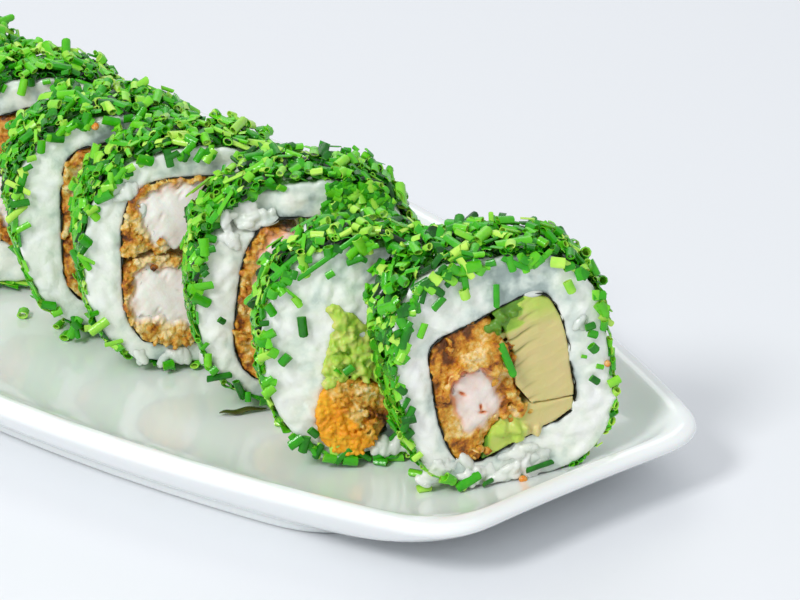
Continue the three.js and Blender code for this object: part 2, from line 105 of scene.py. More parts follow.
# %% The eight rolls
ROLLS = {
    1: dict(at=(125.5, -1.3), yaw=-25, reach=15.8,
            rice=(-0.1, 24.3, 20.9, 23, 3.3, 1.2, 3), nori=(-0.5, 22.6, 13.3, 14.5, 6, -1.2, 17)),
    2: dict(at=(101.7, -13.9), yaw=-34, reach=11.5,
            rice=(0.6, 23.9, 21.3, 22.2, 2.6, 0.6, 0), nori=(0.5, 22.5, 13, 16.5, 3, 0, 4)),
    3: dict(at=(74.4, -7.6), yaw=-32, reach=16,
            rice=(1.2, 24.5, 22, 23.1, 2.5, 0, 0), nori=(1.3, 22.5, 14.2, 17.9, 3.3, 0, -7)),
    4: dict(at=(46.4, -13), yaw=-32, reach=15,
            rice=(1, 24.3, 21.6, 23.1, 2.5, 0, 0), nori=(0.8, 23.6, 14, 18, 3.5, 0, 0)),
    5: dict(at=(25.1, -14.9), yaw=-30, reach=16,
            rice=(2.2, 24.6, 21, 23.5, 2.5, 1.2, 0), nori=(3.6, 25.4, 13.8, 17.4, 4.5, 0, 0)),
    6: dict(at=(-4.3, -12.1), yaw=-33, reach=16,
            rice=(0.5, 24, 22.4, 22.4, 2.5, 0, 0), nori=(1.5, 25.6, 13.4, 14.8, 3.5, 0, 14)),
    7: dict(at=(-35, -12), yaw=-34, reach=16,
            rice=(0, 23.8, 21.6, 22.3, 2.6, 0.8, 0), nori=(0.4, 23.4, 13.4, 17, 3.2, 0, -3)),
    8: dict(at=(-62, -11), yaw=-32, reach=16.5,
            rice=(0.4, 23.6, 22.2, 22.2, 2.4, -0.6, 0), nori=(0, 23.2, 14, 15.2, 4, 0, 9)),
}
END_PIECE = 2  # its rice closes over the fillings, apart from a mouth
BROKEN_PIECE = 3  # a clump of rice has come away from its face
NEAR_ROLLS = 4  # these stand nearest the camera and get the finer voxels
PLATE_FLOOR = 5.0


def standing(roll):
    """The matrix from a roll's own millimetres to the plate's metres."""
    yaw = math.radians(roll["yaw"])
    sine, cosine = math.sin(yaw), math.cos(yaw)
    return TO_METRES @ Matrix((
        (-sine, 0, cosine, roll["at"][0]),
        (cosine, 0, sine, roll["at"][1]),
        (0, 1, 0, PLATE_FLOOR),
        (0, 0, 0, 1),
    ))


def radius_of(shape, angle):
    """How far a squircle's edge is from its middle, at an angle."""
    _, _, half_width, half_height, squareness, lean, turn = shape
    own = angle - math.radians(turn)
    across = np.abs(np.cos(own) / half_width) ** squareness
    up = np.abs(np.sin(own) / half_height) ** squareness
    return (across + up) ** (-1 / squareness) - lean * np.sin(2 * angle)


def from_middle(shape, radius, angle):
    """The place at a distance and an angle from a squircle's middle."""
    return shape[0] + radius * math.cos(angle), shape[1] + radius * math.sin(angle)


def outline_of(shape, count, grow=0.0):
    """Points round a squircle, grown by one distance or by one for each point."""
    angle = np.arange(count) * 2 * np.pi / count
    radius = radius_of(shape, angle) + grow
    return np.stack([shape[0] + radius * np.cos(angle), shape[1] + radius * np.sin(angle)], axis=1)


def room_inside(shape, u, v):
    """How far a place lies inside a squircle; negative outside it."""
    away = np.hypot(u - shape[0], v - shape[1])
    return radius_of(shape, np.arctan2(v - shape[1], u - shape[0])) - away


print("rolls:", len(ROLLS))

# %% [markdown]
# A few habits keep the modelling honest: deselect before adding anything, apply each modifier at
# once, and end with the object at the origin and its place in its mesh. A loft is an edge loop that
# is extruded ring after ring; each ring is then drawn out to its outline, and the ends are filled or
# bridged into a hoop.

# %% Modelling helpers
def add(operator, **settings):
    """Adds an object with one operator, with nothing else selected."""
    bpy.ops.object.select_all(action="DESELECT")
    operator(**settings)
    return bpy.context.object


def only(piece):
    """Selects one piece and nothing else."""
    bpy.ops.object.select_all(action="DESELECT")
    piece.select_set(True)
    bpy.context.view_layer.objects.active = piece
    return piece


def modify(piece, kind, **settings):
    """Adds a modifier and applies it."""
    only(piece)
    modifier = piece.modifiers.new(kind.title(), kind)
    for name, value in settings.items():
        setattr(modifier, name, value)
    bpy.ops.object.modifier_apply(modifier=modifier.name)
    return piece


def edit(piece, *steps):
    """Runs edit-mode operators on the whole piece, each given with its settings."""
    only(piece)
    bpy.ops.object.mode_set(mode="EDIT")
    for operator, settings in steps:
        bpy.ops.mesh.select_all(action="SELECT")
        operator(**settings)
    bpy.ops.object.mode_set(mode="OBJECT")
    return piece


def points_of(piece):
    """The points of a piece's mesh, one in each row."""
    flat = np.empty(len(piece.data.vertices) * 3)
    piece.data.vertices.foreach_get("co", flat)
    return flat.reshape(-1, 3)


def move_points(piece, points):
    """Puts the points of a piece at new places."""
    piece.data.vertices.foreach_set("co", np.asarray(points, dtype=float).ravel())
    piece.data.update()
    return piece


def loft(name, rings, hoop=False):
    """Extrudes a loop of edges through rings of points, then fills its ends or bridges them."""
    count = len(rings[0])
    piece = add(bpy.ops.mesh.primitive_circle_add, vertices=count, radius=1)
    piece.name = name
    bpy.ops.object.mode_set(mode="EDIT")
    bpy.ops.mesh.select_all(action="SELECT")
    for _ in rings[1:]:
        bpy.ops.mesh.extrude_edges_move(TRANSFORM_OT_translate={"value": (0, 0, 1)})
    if hoop:
        bpy.ops.mesh.select_all(action="DESELECT")
        bpy.ops.mesh.select_non_manifold()
        bpy.ops.mesh.bridge_edge_loops()
    else:
        bpy.ops.mesh.select_all(action="SELECT")
        bpy.ops.mesh.fill_holes(sides=0)
    bpy.ops.object.mode_set(mode="OBJECT")
    # the loop starts at the top of its circle, so its points are counted from there
    start = points_of(piece)
    ring = np.rint(start[:, 2]).astype(int)
    turn = (np.arctan2(start[:, 1], start[:, 0]) - np.pi / 2) * count / (2 * np.pi)
    place = np.array(rings, dtype=float)[ring, np.rint(turn).astype(int) % count]
    move_points(piece, place)
    return edit(piece, (bpy.ops.mesh.normals_make_consistent, {"inside": False}))


def at_depth(outline, z):
    """An outline as a ring of points at one depth, or at one for each point."""
    return np.column_stack([outline, np.broadcast_to(z, len(outline))])


def join(pieces, name):
    """Makes one mesh of several pieces."""
    bpy.ops.object.select_all(action="DESELECT")
    for piece in pieces:
        piece.select_set(True)
    bpy.context.view_layer.objects.active = pieces[0]
    bpy.ops.object.join()
    pieces[0].name = name
    return pieces[0]


def cut(piece, cutter, operation="DIFFERENCE"):
    """Cuts a piece with another, which is then gone."""
    modify(piece, "BOOLEAN", object=cutter, operation=operation, solver="EXACT")
    bpy.data.objects.remove(cutter)
    return piece


corners = outline_of((0, 0, 1, 1, 2, 0, 0), 4)
print("a circle of four points:", corners.round(2).tolist())

# %% [markdown]
# Rice, crumbs and chives come by the hundred. Instances or a particle system could lay them out, but
# only real mesh leaves Blender with its shape, so one is modelled and its points are copied to each
# place in one joined mesh. Numbers painted on the points tell the materials what is what. A filling
# starts as a copy of its CAD solid, whose loose triangles are merged before anything else.

# %% Copies and painted values
def paint(piece, name, values):
    """Keeps one number for each point of a piece, for its material to read."""
    layer = piece.data.attributes.new(name, "FLOAT", "POINT")
    layer.data.foreach_set("value", np.asarray(values, dtype=float))
    return piece


def forget(piece, *names):
    """Drops painted values that have done their work."""
    for layer in list(piece.data.attributes):
        if layer.name in names:
            piece.data.attributes.remove(layer)
    return piece


def scatter(name, template, places, shades=0.0):
    """One joined mesh with a copy of the template at each place, and a shade for all or for each."""
    shape = np.column_stack([points_of(template), np.ones(len(template.data.vertices))])
    stack = np.array([np.array(place) for place in places])
    points = np.einsum("nij,vj->nvi", stack, shape)[:, :, :3].reshape(-1, 3)
    faces = [tuple(face.vertices) for face in template.data.polygons]
    count = len(shape)
    every = [tuple(v + k * count for v in face) for k in range(len(places)) for face in faces]
    mesh = bpy.data.meshes.new(name)
    mesh.from_pydata(points.tolist(), [], every)
    piece = bpy.data.objects.new(name, mesh)
    bpy.context.scene.collection.objects.link(piece)
    paint(piece, "shade", np.repeat(np.broadcast_to(shades, len(places)), count))
    marks = template.data.attributes.get("inner")
    if marks:
        inner = np.array([mark.value for mark in marks.data])
        paint(piece, "inner", np.tile(inner, len(places)))
    return piece


def copy_of(node, name, matrix):
    """A copy of a CAD solid with its facets merged, laid in a roll's own millimetres."""
    piece = bpy.data.objects.new(name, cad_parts[node].data.copy())
    bpy.context.scene.collection.objects.link(piece)
    piece.data.materials.clear()
    edit(piece, (bpy.ops.mesh.remove_doubles, {"threshold": 0.00002}))
    piece.data.transform(matrix.inverted())
    return piece


print("solids to copy:", sum(name.startswith(("prawn", "avocado", "slice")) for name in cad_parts))

# %% [markdown]
# Materials start from what the real stuff is. One function turns a hex colour to linear light, one
# starts a material, and one adds any node with its settings and links. Patterns read Object
# coordinates, which are metres here, so a helper value turns a size in millimetres into a scale.

# %% Material helpers
def colour(code):
    """A hex sRGB colour as linear light."""
    parts = [int(code[k:k + 2], 16) / 255 for k in (1, 3, 5)]
    return (*[p / 12.92 if p <= 0.04045 else ((p + 0.055) / 1.055) ** 2.4 for p in parts], 1)


def per_mm(size):
    """The texture scale that gives features of about this many millimetres."""
    return 1 / (size * MM)


def new_material(name, **sockets):
    """A material whose Principled shader has some of its inputs set."""
    material = bpy.data.materials.new(name)
    material.use_nodes = True
    shader = material.node_tree.nodes["Principled BSDF"]
    for socket, value in sockets.items():
        shader.inputs[socket.replace("_", " ")].default_value = value
    return material, material.node_tree, shader


def node(tree, kind, links=None, stops=None, **settings):
    """Adds a node. links gives each input a value or another node's output; stops fill a ramp."""
    made = tree.nodes.new(kind)
    for name, value in settings.items():
        setattr(made, name, value)
    for socket, value in (links or {}).items():
        if isinstance(value, bpy.types.NodeSocket):
            tree.links.new(value, made.inputs[socket])
        else:
            made.inputs[socket].default_value = value
    for number, (place, code) in enumerate(stops or []):
        elements = made.color_ramp.elements
        stop = elements[number] if number < len(elements) else elements.new(place)
        stop.position = place
        stop.color = colour(code)
    return made


def wear(piece, material, slot, *nodes, smooth=None):
    """Finishes a piece: its material, its shading, the body it rides on and what it stands for."""
    piece.data.materials.clear()
    piece.data.materials.append(material)
    only(piece)
    if smooth is None:
        bpy.ops.object.shade_smooth()
    else:
        bpy.ops.object.shade_smooth_by_angle(angle=math.radians(smooth))
    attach(piece, "root")
    if nodes:
        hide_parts(*nodes)
    triangles = sum(len(face.vertices) - 2 for face in piece.data.polygons)
    print(f"{piece.name}: {triangles} triangles")
    return piece


print("a pattern of 1 mm has the scale", per_mm(1))

# %% [markdown]
# **The plate** is slip-cast porcelain: a shallow well, a rounded lip, a wall that slopes in to a foot.
# It could be a solid of revolution squashed to shape, but its sides are bowed, its ends straight
# and its corners round, so one outline is inset again and again and lofted, as a pattern maker
# would carve the section. Subdivision then gives the soft edges of a fired glaze.

# %% Plate shape
HALF_LENGTH = 146
END_HALF_WIDTH = 33
MID_HALF_WIDTH = 65
END_HOLLOW = 1.2
CORNER_RADIUS = 10
CORNER_GROWTH = 0.4

# [inset from the side, inset from the end, height]
WELL = [(44, 60, 4.98), (30, 30, 5.0), (23, 23, 5.3), (15, 15, 6.6), (9, 9, 9.0), (5.4, 5.4, 12.2),
        (4.3, 4.3, 13.15), (3.4, 3.4, 13.55), (2.2, 2.2, 13.6), (0.8, 0.9, 13.3), (0.1, 0.1, 12.7)]
UNDER = [(0, 0, 12.0), (0.2, 0.3, 11.3), (0.8, 1.4, 10.4), (4.0, 7.5, 6.8), (7.6, 15, 3.9),
         (10.2, 28.6, 2.4), (10.7, 29.5, 1.2), (11, 30, 0.1), (12, 31, 0), (14, 33, 0), (15, 34, 0.6),
         (15.2, 34.4, 2.0), (30, 60, 2.1)]


def half_width(x):
    """How far a bowed side is from the middle line, at a place along the plate."""
    return END_HALF_WIDTH + (MID_HALF_WIDTH - END_HALF_WIDTH) * (1 - (x / HALF_LENGTH) ** 2)


def plate_outline(side_inset, end_inset, side=9, corner=6, end=5):
    """The plate's outline, inset: bowed sides, slightly hollow ends and round corners."""
    length = HALF_LENGTH - end_inset
    wide = half_width(length) - side_inset
    round_off = min(CORNER_RADIUS + CORNER_GROWTH * side_inset, wide - 1)
    start = length - round_off
    quarter = [(x, half_width(x) - side_inset) for x in np.linspace(0, start, side + 1)]
    to_y = wide - round_off

    def hollow(y):
        return length - END_HOLLOW * (1 - (y / wide) ** 2)

    first, over, last = np.array([quarter[-1], (length, wide), (hollow(to_y), to_y)])
    for t in np.arange(1, corner + 1) / corner:
        quarter.append(tuple(first * (1 - t) ** 2 + over * 2 * t * (1 - t) + last * t * t))
    quarter += [(hollow(y), y) for y in to_y * (1 - np.arange(1, end + 1) / end)]
    half = quarter + [(x, -y) for x, y in quarter[-2::-1]]
    return np.array(half + [(-x, y) for x, y in half[-2:0:-1]])


def well_height(x, y):
    """The height of the well's surface at a place, in millimetres."""
    inset = np.minimum(half_width(x) - np.abs(y), HALF_LENGTH - END_HOLLOW - np.abs(x))
    rows = sorted((row[0], row[2]) for row in WELL)
    return np.interp(inset, [row[0] for row in rows], [row[1] for row in rows])


def settle(piece, gap, top=math.inf):
    """Lifts what would sink into the plate to just above it, and presses down what is too high."""
    world = points_of(piece)
    floor = (well_height(world[:, 0] / MM, world[:, 1] / MM) + gap) * MM
    world[:, 2] = np.clip(world[:, 2], floor, top)
    return move_points(piece, world)


def make_plate():
    piece = loft("plate_glazed", [at_depth(plate_outline(a, b), z) for a, b, z in WELL + UNDER])
    modify(piece, "SUBSURF", levels=2, render_levels=2)
    piece.data.transform(TO_METRES)
    return piece


plate = make_plate()
print("plate outline:", len(plate_outline(0, 0)), "points")

# %% [markdown]
# **Glazed porcelain** is white clay under a layer of glass. The clay is rough and very slightly cool,
# and the glass gives the sharp reflections: a low roughness, a clear coat and the faint waviness
# that a glaze has where it ran before it set, a few centimetres long.

# %% Porcelain
def glazed_porcelain():
    """White clay under clear glass: a soft body with sharp highlights that swim a little."""
    material, tree, shader = new_material(
        "glazed_porcelain", Base_Color=colour("#F3F6F5"), Roughness=0.16, IOR=1.5,
        Coat_Weight=0.6, Coat_Roughness=0.04, Coat_IOR=1.5, Subsurface_Weight=0.08,
        Subsurface_Scale=0.004)
    place = node(tree, "ShaderNodeTexCoord").outputs["Object"]
    waves = node(tree, "ShaderNodeTexNoise", {"Vector": place, "Scale": per_mm(28), "Detail": 1.0})
    bump = node(tree, "ShaderNodeBump", {"Height": waves.outputs["Fac"], "Strength": 0.05,
                                         "Distance": 0.002})
    tree.links.new(bump.outputs["Normal"], shader.inputs["Coat Normal"])
    return material


wear(plate, glazed_porcelain(), "porcelain", "plate")

# %% [markdown]
# **Sushi rice** is steamed short grain, about five millimetres long, pressed into a wall until the
# grains stick and deform, then cut through with a wet knife. A bumpy texture would give the colour
# but no grains at the outline, so real grains are scattered over a plain core, half sunk in it, and
# a voxel remesh fuses them as starch does. The faces are flatter than the rest, because the knife
# went through them.

# %% Rice grains
GRAIN_LENGTH = 4.9
GRAIN_WIDTH = 2.5
GRAIN_PITCH = 2.5  # between the grains laid over a face
GRAIN_SIZES = (0.82, 1.12)  # the smallest and the largest, as shares of that
FACE_REACH = (-23, 25, 0, 49)  # the square that every cut face lies in
MOUTH = [(-11, 11), (-9.2, 18), (-7.6, 25), (-6, 30), (-3.2, 29), (1.4, 23), (5, 15.6), (4.6, 7.5),
         (-2, 2.9), (-8.4, 4.8)]


def smooth_outline(points, count):
    """A smooth closed outline through a few points."""
    points = np.array(points, dtype=float)
    t = np.arange(count) * len(points) / count
    k = t.astype(int)
    f = (t - k)[:, None]
    a, b, c, d = (points[(k + step) % len(points)] for step in (-1, 0, 1, 2))
    bend = (2 * a - 5 * b + 4 * c - d) * f ** 2 + (3 * b - a - 3 * c + d) * f ** 3
    return 0.5 * (2 * b + (c - a) * f + bend)


def inside(outline, u, v):
    """Whether each place is inside an outline."""
    u, v = np.atleast_1d(u), np.atleast_1d(v)
    found = np.zeros(len(u), dtype=bool)
    for (x0, y0), (x1, y1) in zip(outline, np.roll(outline, -1, axis=0)):
        crosses = (y0 > v) != (y1 > v)
        found ^= crosses & (u < (x1 - x0) * (v - y0) / (y1 - y0 + 1e-9) + x0)
    return found


def grain_template():
    """One grain: a blunt spindle, a little flat."""
    piece = add(bpy.ops.mesh.primitive_ico_sphere_add, subdivisions=2, radius=0.5)
    at = points_of(piece)
    blunt = np.column_stack([np.sign(at[:, 0]) * np.abs(2 * at[:, 0]) ** 0.75 / 2, at[:, 1], at[:, 2]])
    return move_points(piece, blunt * (GRAIN_LENGTH, GRAIN_WIDTH, GRAIN_WIDTH * 0.85))


def turned(place, across, tilt, size):
    """A matrix that lays a copy at a place with its length along one direction, rolled by a tilt."""
    along = Vector(across).normalized()
    turn = along.to_track_quat("X", "Z").to_matrix().to_4x4()
    return Matrix.Translation(place) @ turn @ Matrix.Rotation(tilt, 4, "X") @ Matrix.Diagonal((*size, 1))


def grains_on_faces(number, roll, random):
    """Grains laid flat over both cut faces. Close to the edge they follow it."""
    places = []
    left, right, bottom, top = FACE_REACH
    for side in (1, -1):
        closed = number == END_PIECE and side == 1
        for u in np.arange(left, right, GRAIN_PITCH):
            for v in np.arange(bottom, top, GRAIN_PITCH):
                u1, v1 = u + random.uniform(-1.1, 1.1), v + random.uniform(-1.1, 1.1)
                rim, core = room_inside(roll["rice"], u1, v1), -room_inside(roll["nori"], u1, v1)
                if rim < 1.3 or (core < 1.3 and not closed):
                    continue
                if closed and inside(MOUTH, u1, v1)[0]:
                    continue
                depth = 1.0 + random.normal(0, 0.14)
                z = -depth if side == 1 else -roll["reach"] + depth
                angle = random.uniform(0, np.pi)
                if rim < 3:
                    angle = math.atan2(v1 - roll["rice"][1], u1 - roll["rice"][0]) + np.pi / 2
                along = (math.cos(angle), math.sin(angle), random.normal(0, 0.07))
                size = random.uniform(*GRAIN_SIZES, 3)
                places.append(turned((u1, v1, z), along, random.uniform(0, 3), size))
    return places


def grains_round(roll, random):
    """Grains half sunk in the outside. Next to the faces they lie along the edge."""
    places = []
    for angle in np.arange(0, 2 * np.pi, 0.125):
        for depth in np.arange(1.8, roll["reach"] - 1, 2.7):
            turn = angle + random.uniform(-0.06, 0.06)
            radius = radius_of(roll["rice"], turn) - 1.15 + random.normal(0, 0.2)
            z = -depth - random.uniform(-1, 1)
            u, v = from_middle(roll["rice"], radius, turn)
            swing = random.uniform(0, np.pi) if 4 < depth < roll["reach"] - 4 else 0.2
            along = (-math.sin(turn) * math.cos(swing), math.cos(turn) * math.cos(swing), math.sin(swing))
            tilt, size = random.uniform(0, 3), random.uniform(*GRAIN_SIZES, 3)
            places.append(turned((u, v, z), along, tilt, size))
    return places


grain = grain_template()
print("a grain:", np.ptp(points_of(grain), axis=0).round(1).tolist(), "mm")

# %% [markdown]
# Under the grains is a plain core, a hoop of rice round the seaweed. The **end piece** of a roll is
# different: its rice closes over the fillings, and the tail of the prawn comes out of a mouth that
# is cut in it. After the remesh the faces are pressed flat, and painted values say where the rice is
# wet and where the coat of chives covers it.

# %% Rice walls
RICE_SPOKES = 72
RICE_VOXEL = (0.44, 0.5)  # near, far
END_WALL = 5  # rice in front of the end piece's seaweed
RICE_GAP = 0.15  # between the rice and the glaze


def face_depth(number, u, v):
    """How far the cut face lies behind its plane: the end piece falls away, one roll is broken."""
    if number == END_PIECE:
        return 0.2 * np.maximum(0, u + 5)
    if number == BROKEN_PIECE:
        above = 1 / (1 + np.exp((37.9 - v) / 0.25))
        beside = 1 / (1 + np.exp((u + 4.5) / 0.7))
        return 3.4 * above * beside
    return 0.0 * u


def rice_core(number, roll, random):
    """The plain wall of rice: a hoop, or for the end piece a bowl with a mouth cut in its bottom."""
    name, back = f"rice_grains_{number}", -roll["reach"]
    waver = np.convolve(random.normal(0, 0.35, RICE_SPOKES), np.ones(3) / 3, "same")
    outside = outline_of(roll["rice"], RICE_SPOKES, -0.35 + waver)
    edge = outline_of(roll["rice"], RICE_SPOKES, -0.8 + waver)
    hole = outline_of(roll["nori"], RICE_SPOKES, -0.12)
    face = [at_depth(edge * 0.5 + hole * 0.5, -0.45), at_depth(edge, -0.55), at_depth(outside, -1.45)]
    side = at_depth(outside, back + 1.7)
    if number != END_PIECE:
        rings = [at_depth(hole, -0.45), *face, side, at_depth(edge, back + 0.8), at_depth(hole, back + 0.7)]
        return loft(name, rings, hoop=True)
    middle = np.array(roll["nori"][:2])
    closed = [at_depth(middle + (hole - middle) * share, -0.45) for share in (0.05, 0.35, 0.7, 1)]
    piece = loft(name, [*closed, *face, side, at_depth(edge, back + 0.9), at_depth(hole, back + 0.9)])
    cut(piece, loft("hollow", [at_depth(hole, back - 2), at_depth(hole, -END_WALL)]))
    mouth = smooth_outline(MOUTH, 40)
    return cut(piece, loft("mouth", [at_depth(mouth, -END_WALL - 1), at_depth(mouth, 5)]))


def pressed(at, number):
    """Points with the front flattened as the knife left it, and then fallen away or broken."""
    cut_flat = np.clip((at[:, 2] + 1.6) / 0.8, 0, 1)
    at[:, 2] -= 0.45 * (at[:, 2] + 0.1) * cut_flat
    at[:, 2] -= face_depth(number, at[:, 0], at[:, 1]) * np.clip((at[:, 2] + 8) / 7.5, 0, 1)
    return at


def wetness(at, number, roll):
    """How wet the rice is: beside the seaweed, at its foot, and in a patch above the fillings."""
    rim = room_inside(roll["nori"], at[:, 0], at[:, 1])
    low = np.clip((9 - at[:, 1]) / 7, 0, 1)
    high = np.clip((at[:, 1] - 34) / 6, 0, 1) * np.clip(1 - np.abs(at[:, 0] - 2) / 17, 0, 1)
    patch = 1.25 if number == 1 else 0.7
    return np.clip(np.exp(-(rim / 2.6) ** 2) * 0.5 + low * 0.9 + high * patch, 0, 1.3)


def coat(at, roll):
    """Where the chives cover the rice: all round it, and on neither face. There the rice is painted dark
    green, for chives packed below and the shade in the gaps between them.
    """
    skin = np.clip((2.2 - room_inside(roll["rice"], at[:, 0], at[:, 1])) / 0.8, 0, 1)
    front = np.clip((-0.9 - at[:, 2]) / 0.7, 0, 1)
    back = np.clip((at[:, 2] + roll["reach"] - 0.9) / 0.7, 0, 1)
    return skin * (front * back)


def make_rice(number, roll):
    random = np.random.default_rng(40 + number)
    core = rice_core(number, roll, random)
    places = grains_on_faces(number, roll, random) + grains_round(roll, random)
    grains = scatter("grains", grain, places)
    piece = forget(join([core, grains], f"rice_grains_{number}"), "shade")
    modify(piece, "REMESH", mode="VOXEL", voxel_size=RICE_VOXEL[number > NEAR_ROLLS])
    modify(piece, "SMOOTH", factor=0.5, iterations=2)
    at = pressed(points_of(piece), number)
    move_points(piece, at)
    paint(piece, "wet", wetness(at, number, roll))
    # painted shade: where the chives cover the rice, its colour turns dark green
    paint(piece, "painted_chive_shade", coat(at, roll))
    piece.data.transform(standing(roll))
    return settle(piece, RICE_GAP)


rice_walls = {number: make_rice(number, roll) for number, roll in ROLLS.items()}
print("walls of rice:", len(rice_walls))

# %% [markdown]
# ** Steamed rice** looks white because light wanders through each grain and comes out elsewhere.
# Subsurface scattering does that here, a millimetre or two deep. Near the seaweed and where it sat
# on the wet plate the grains are fuller of water and look greyer and glassier, which the painted
# value and a grain-sized noise mix in. Under the coat of chives the rice is painted dark green,
# partly for the chives packed below and partly as painted shade in the gaps between them.

# %% Rice finish
def steamed_rice(name="steamed_rice", clear=0.0):
    """Cooked grains: milky, soft-edged and faintly glassy, with small wet highlights."""
    material, tree, shader = new_material(
        name, IOR=1.42, Subsurface_Weight=0.6, Subsurface_Scale=0.0018, Transmission_Weight=clear,
        Subsurface_Radius=(1.0, 0.97, 0.9), Specular_IOR_Level=0.7)
    place = node(tree, "ShaderNodeTexCoord").outputs["Object"]
    wet = node(tree, "ShaderNodeAttribute", attribute_name="wet").outputs["Fac"]
    patches = node(tree, "ShaderNodeTexNoise", {"Vector": place, "Scale": per_mm(4.5), "Detail": 3.0})
    bent = node(tree, "ShaderNodeTexNoise", {"Vector": place, "Scale": per_mm(3), "Detail": 2.0})
    shift = node(tree, "ShaderNodeVectorMath", {0: bent.outputs["Color"], 1: (0.0018,) * 3, 2: place},
                 operation="MULTIPLY_ADD")
    grains = node(tree, "ShaderNodeTexVoronoi",
                  {"Vector": shift.outputs[0], "Scale": per_mm(3.3), "Smoothness": 0.3}, feature="SMOOTH_F1")
    wide = node(tree, "ShaderNodeMapRange", {"Value": patches.outputs["Fac"], "From Min": 0.36,
                                             "From Max": 0.7, "To Min": -0.05, "To Max": 0.3})
    amount = node(tree, "ShaderNodeMath", {0: wet, 1: patches.outputs["Fac"], 2: wide.outputs[0]},
                  operation="MULTIPLY_ADD")
    single = node(tree, "ShaderNodeSeparateColor", {"Color": grains.outputs["Color"]})
    for value, weight in ((grains.outputs["Distance"], 0.26), (single.outputs[0], 0.13)):
        amount = node(tree, "ShaderNodeMath", {0: value, 1: weight, 2: amount.outputs[0]},
                      operation="MULTIPLY_ADD")
    mix = node(tree, "ShaderNodeValToRGB", {"Fac": amount.outputs[0]},
               stops=[(0.14, "#FCFEF7"), (0.42, "#F2F7EC"), (0.72, "#D6E1D8"), (1.05, "#A9B9B3")])
    painted_chive_shade = node(tree, "ShaderNodeAttribute", attribute_name="painted_chive_shade").outputs["Fac"]
    # painted shade: dark green under the coat of chives, for chives packed below in shade
    coated = node(tree, "ShaderNodeMix", {0: painted_chive_shade, 6: mix.outputs["Color"], 7: colour("#2C6415")},
                  data_type="RGBA")
    tree.links.new(coated.outputs[2], shader.inputs["Base Color"])
    fine = node(tree, "ShaderNodeTexNoise", {"Vector": place, "Scale": per_mm(0.9), "Detail": 3.0})
    gloss = node(tree, "ShaderNodeMapRange", {"Value": fine.outputs["Fac"], "From Min": 0.3,
                                              "From Max": 0.7, "To Min": 0.08, "To Max": 0.3})
    tree.links.new(gloss.outputs[0], shader.inputs["Roughness"])
    height = node(tree, "ShaderNodeMath", {0: grains.outputs["Distance"], 1: -1.2, 2: 1.0},
                  operation="MULTIPLY_ADD")
    height = node(tree, "ShaderNodeMath", {0: fine.outputs["Fac"], 1: 0.4, 2: height.outputs[0]},
                  operation="MULTIPLY_ADD")
    bump = node(tree, "ShaderNodeBump", {"Height": height.outputs[0], "Strength": 0.5, "Distance": 0.0006})
    tree.links.new(bump.outputs["Normal"], shader.inputs["Normal"])
    return material


rice_finish = steamed_rice()
for number, piece in rice_walls.items():
    wear(piece, rice_finish, "rice_with_chives", f"rice_{number}")

# %% [markdown]
# Where the knife left the rice ragged, whole grains stand clear of the mass: along the foot of the
# first roll, at the corner of its seaweed, and in the clump beside the break. They are wet through,
# so more light goes straight into them than in the pressed rice.

# %% Loose grains
LOOSE_VOXEL = 0.22
# roll: [u low, v low, u high, v high, z low, z high, how many]
LOOSE_GRAINS = {
    1: [(-16, 2.5, -7, 6.5, -1.5, -0.3, 13), (-8, 1.9, 9, 4.6, -1.3, 0.1, 30), (-1, 5, 8, 8, -1.1, -0.2, 12),
        (5, 38.8, 5.4, 39.2, -1.2, -1.0, 1), (14.2, 31.4, 14.8, 32.2, -1.0, -0.5, 2)],
    2: [(-9, 2.8, 8, 4.2, -1.2, 0.1, 12)],
    3: [(-14.6, 38.9, -5.6, 42.6, -2.9, -0.9, 24), (-18, 36.4, -12.5, 37.6, -1.1, 0.1, 7)],
    4: [(-16, 35, -8, 41, -0.9, -0.1, 8), (-12, 2.6, 6, 4.4, -1.1, 0.1, 12)],
}


def make_loose_grains(number, roll, boxes):
    random = np.random.default_rng(60 + number)
    places = []
    for u0, v0, u1, v1, z0, z1, count in boxes:
        for _ in range(count):
            place = random.uniform((u0, v0, z0), (u1, v1, z1))
            angle = random.uniform(0, np.pi)
            along = (math.cos(angle), math.sin(angle), random.normal(0, 0.15))
            size = random.uniform(0.72, 0.98) * random.uniform(0.9, 1.1, 3)
            places.append(turned(place, along, random.uniform(0, 3), size))
    piece = scatter(f"loose_rice_{number}", grain, places)
    modify(piece, "REMESH", mode="VOXEL", voxel_size=LOOSE_VOXEL)
    modify(piece, "SMOOTH", factor=0.5, iterations=2)
    paint(piece, "wet", np.full(len(piece.data.vertices), 0.28))
    piece.data.transform(standing(roll))
    return settle(piece, RICE_GAP)


wet_finish = steamed_rice("wet_rice", clear=0.12)
for number, boxes in LOOSE_GRAINS.items():
    wear(make_loose_grains(number, ROLLS[number], boxes), wet_finish, "rice_with_chives")
bpy.data.objects.remove(grain)

# %% [markdown]
# **Roasted seaweed** is a sheet a few tenths of a millimetre thick that wraps the fillings once. It
# softens against the wet rice and puckers, so the hoop's edge wavers up and down and in and out.

# %% Seaweed
NORI_SPOKES = 144
NORI_THICKNESS = 0.4


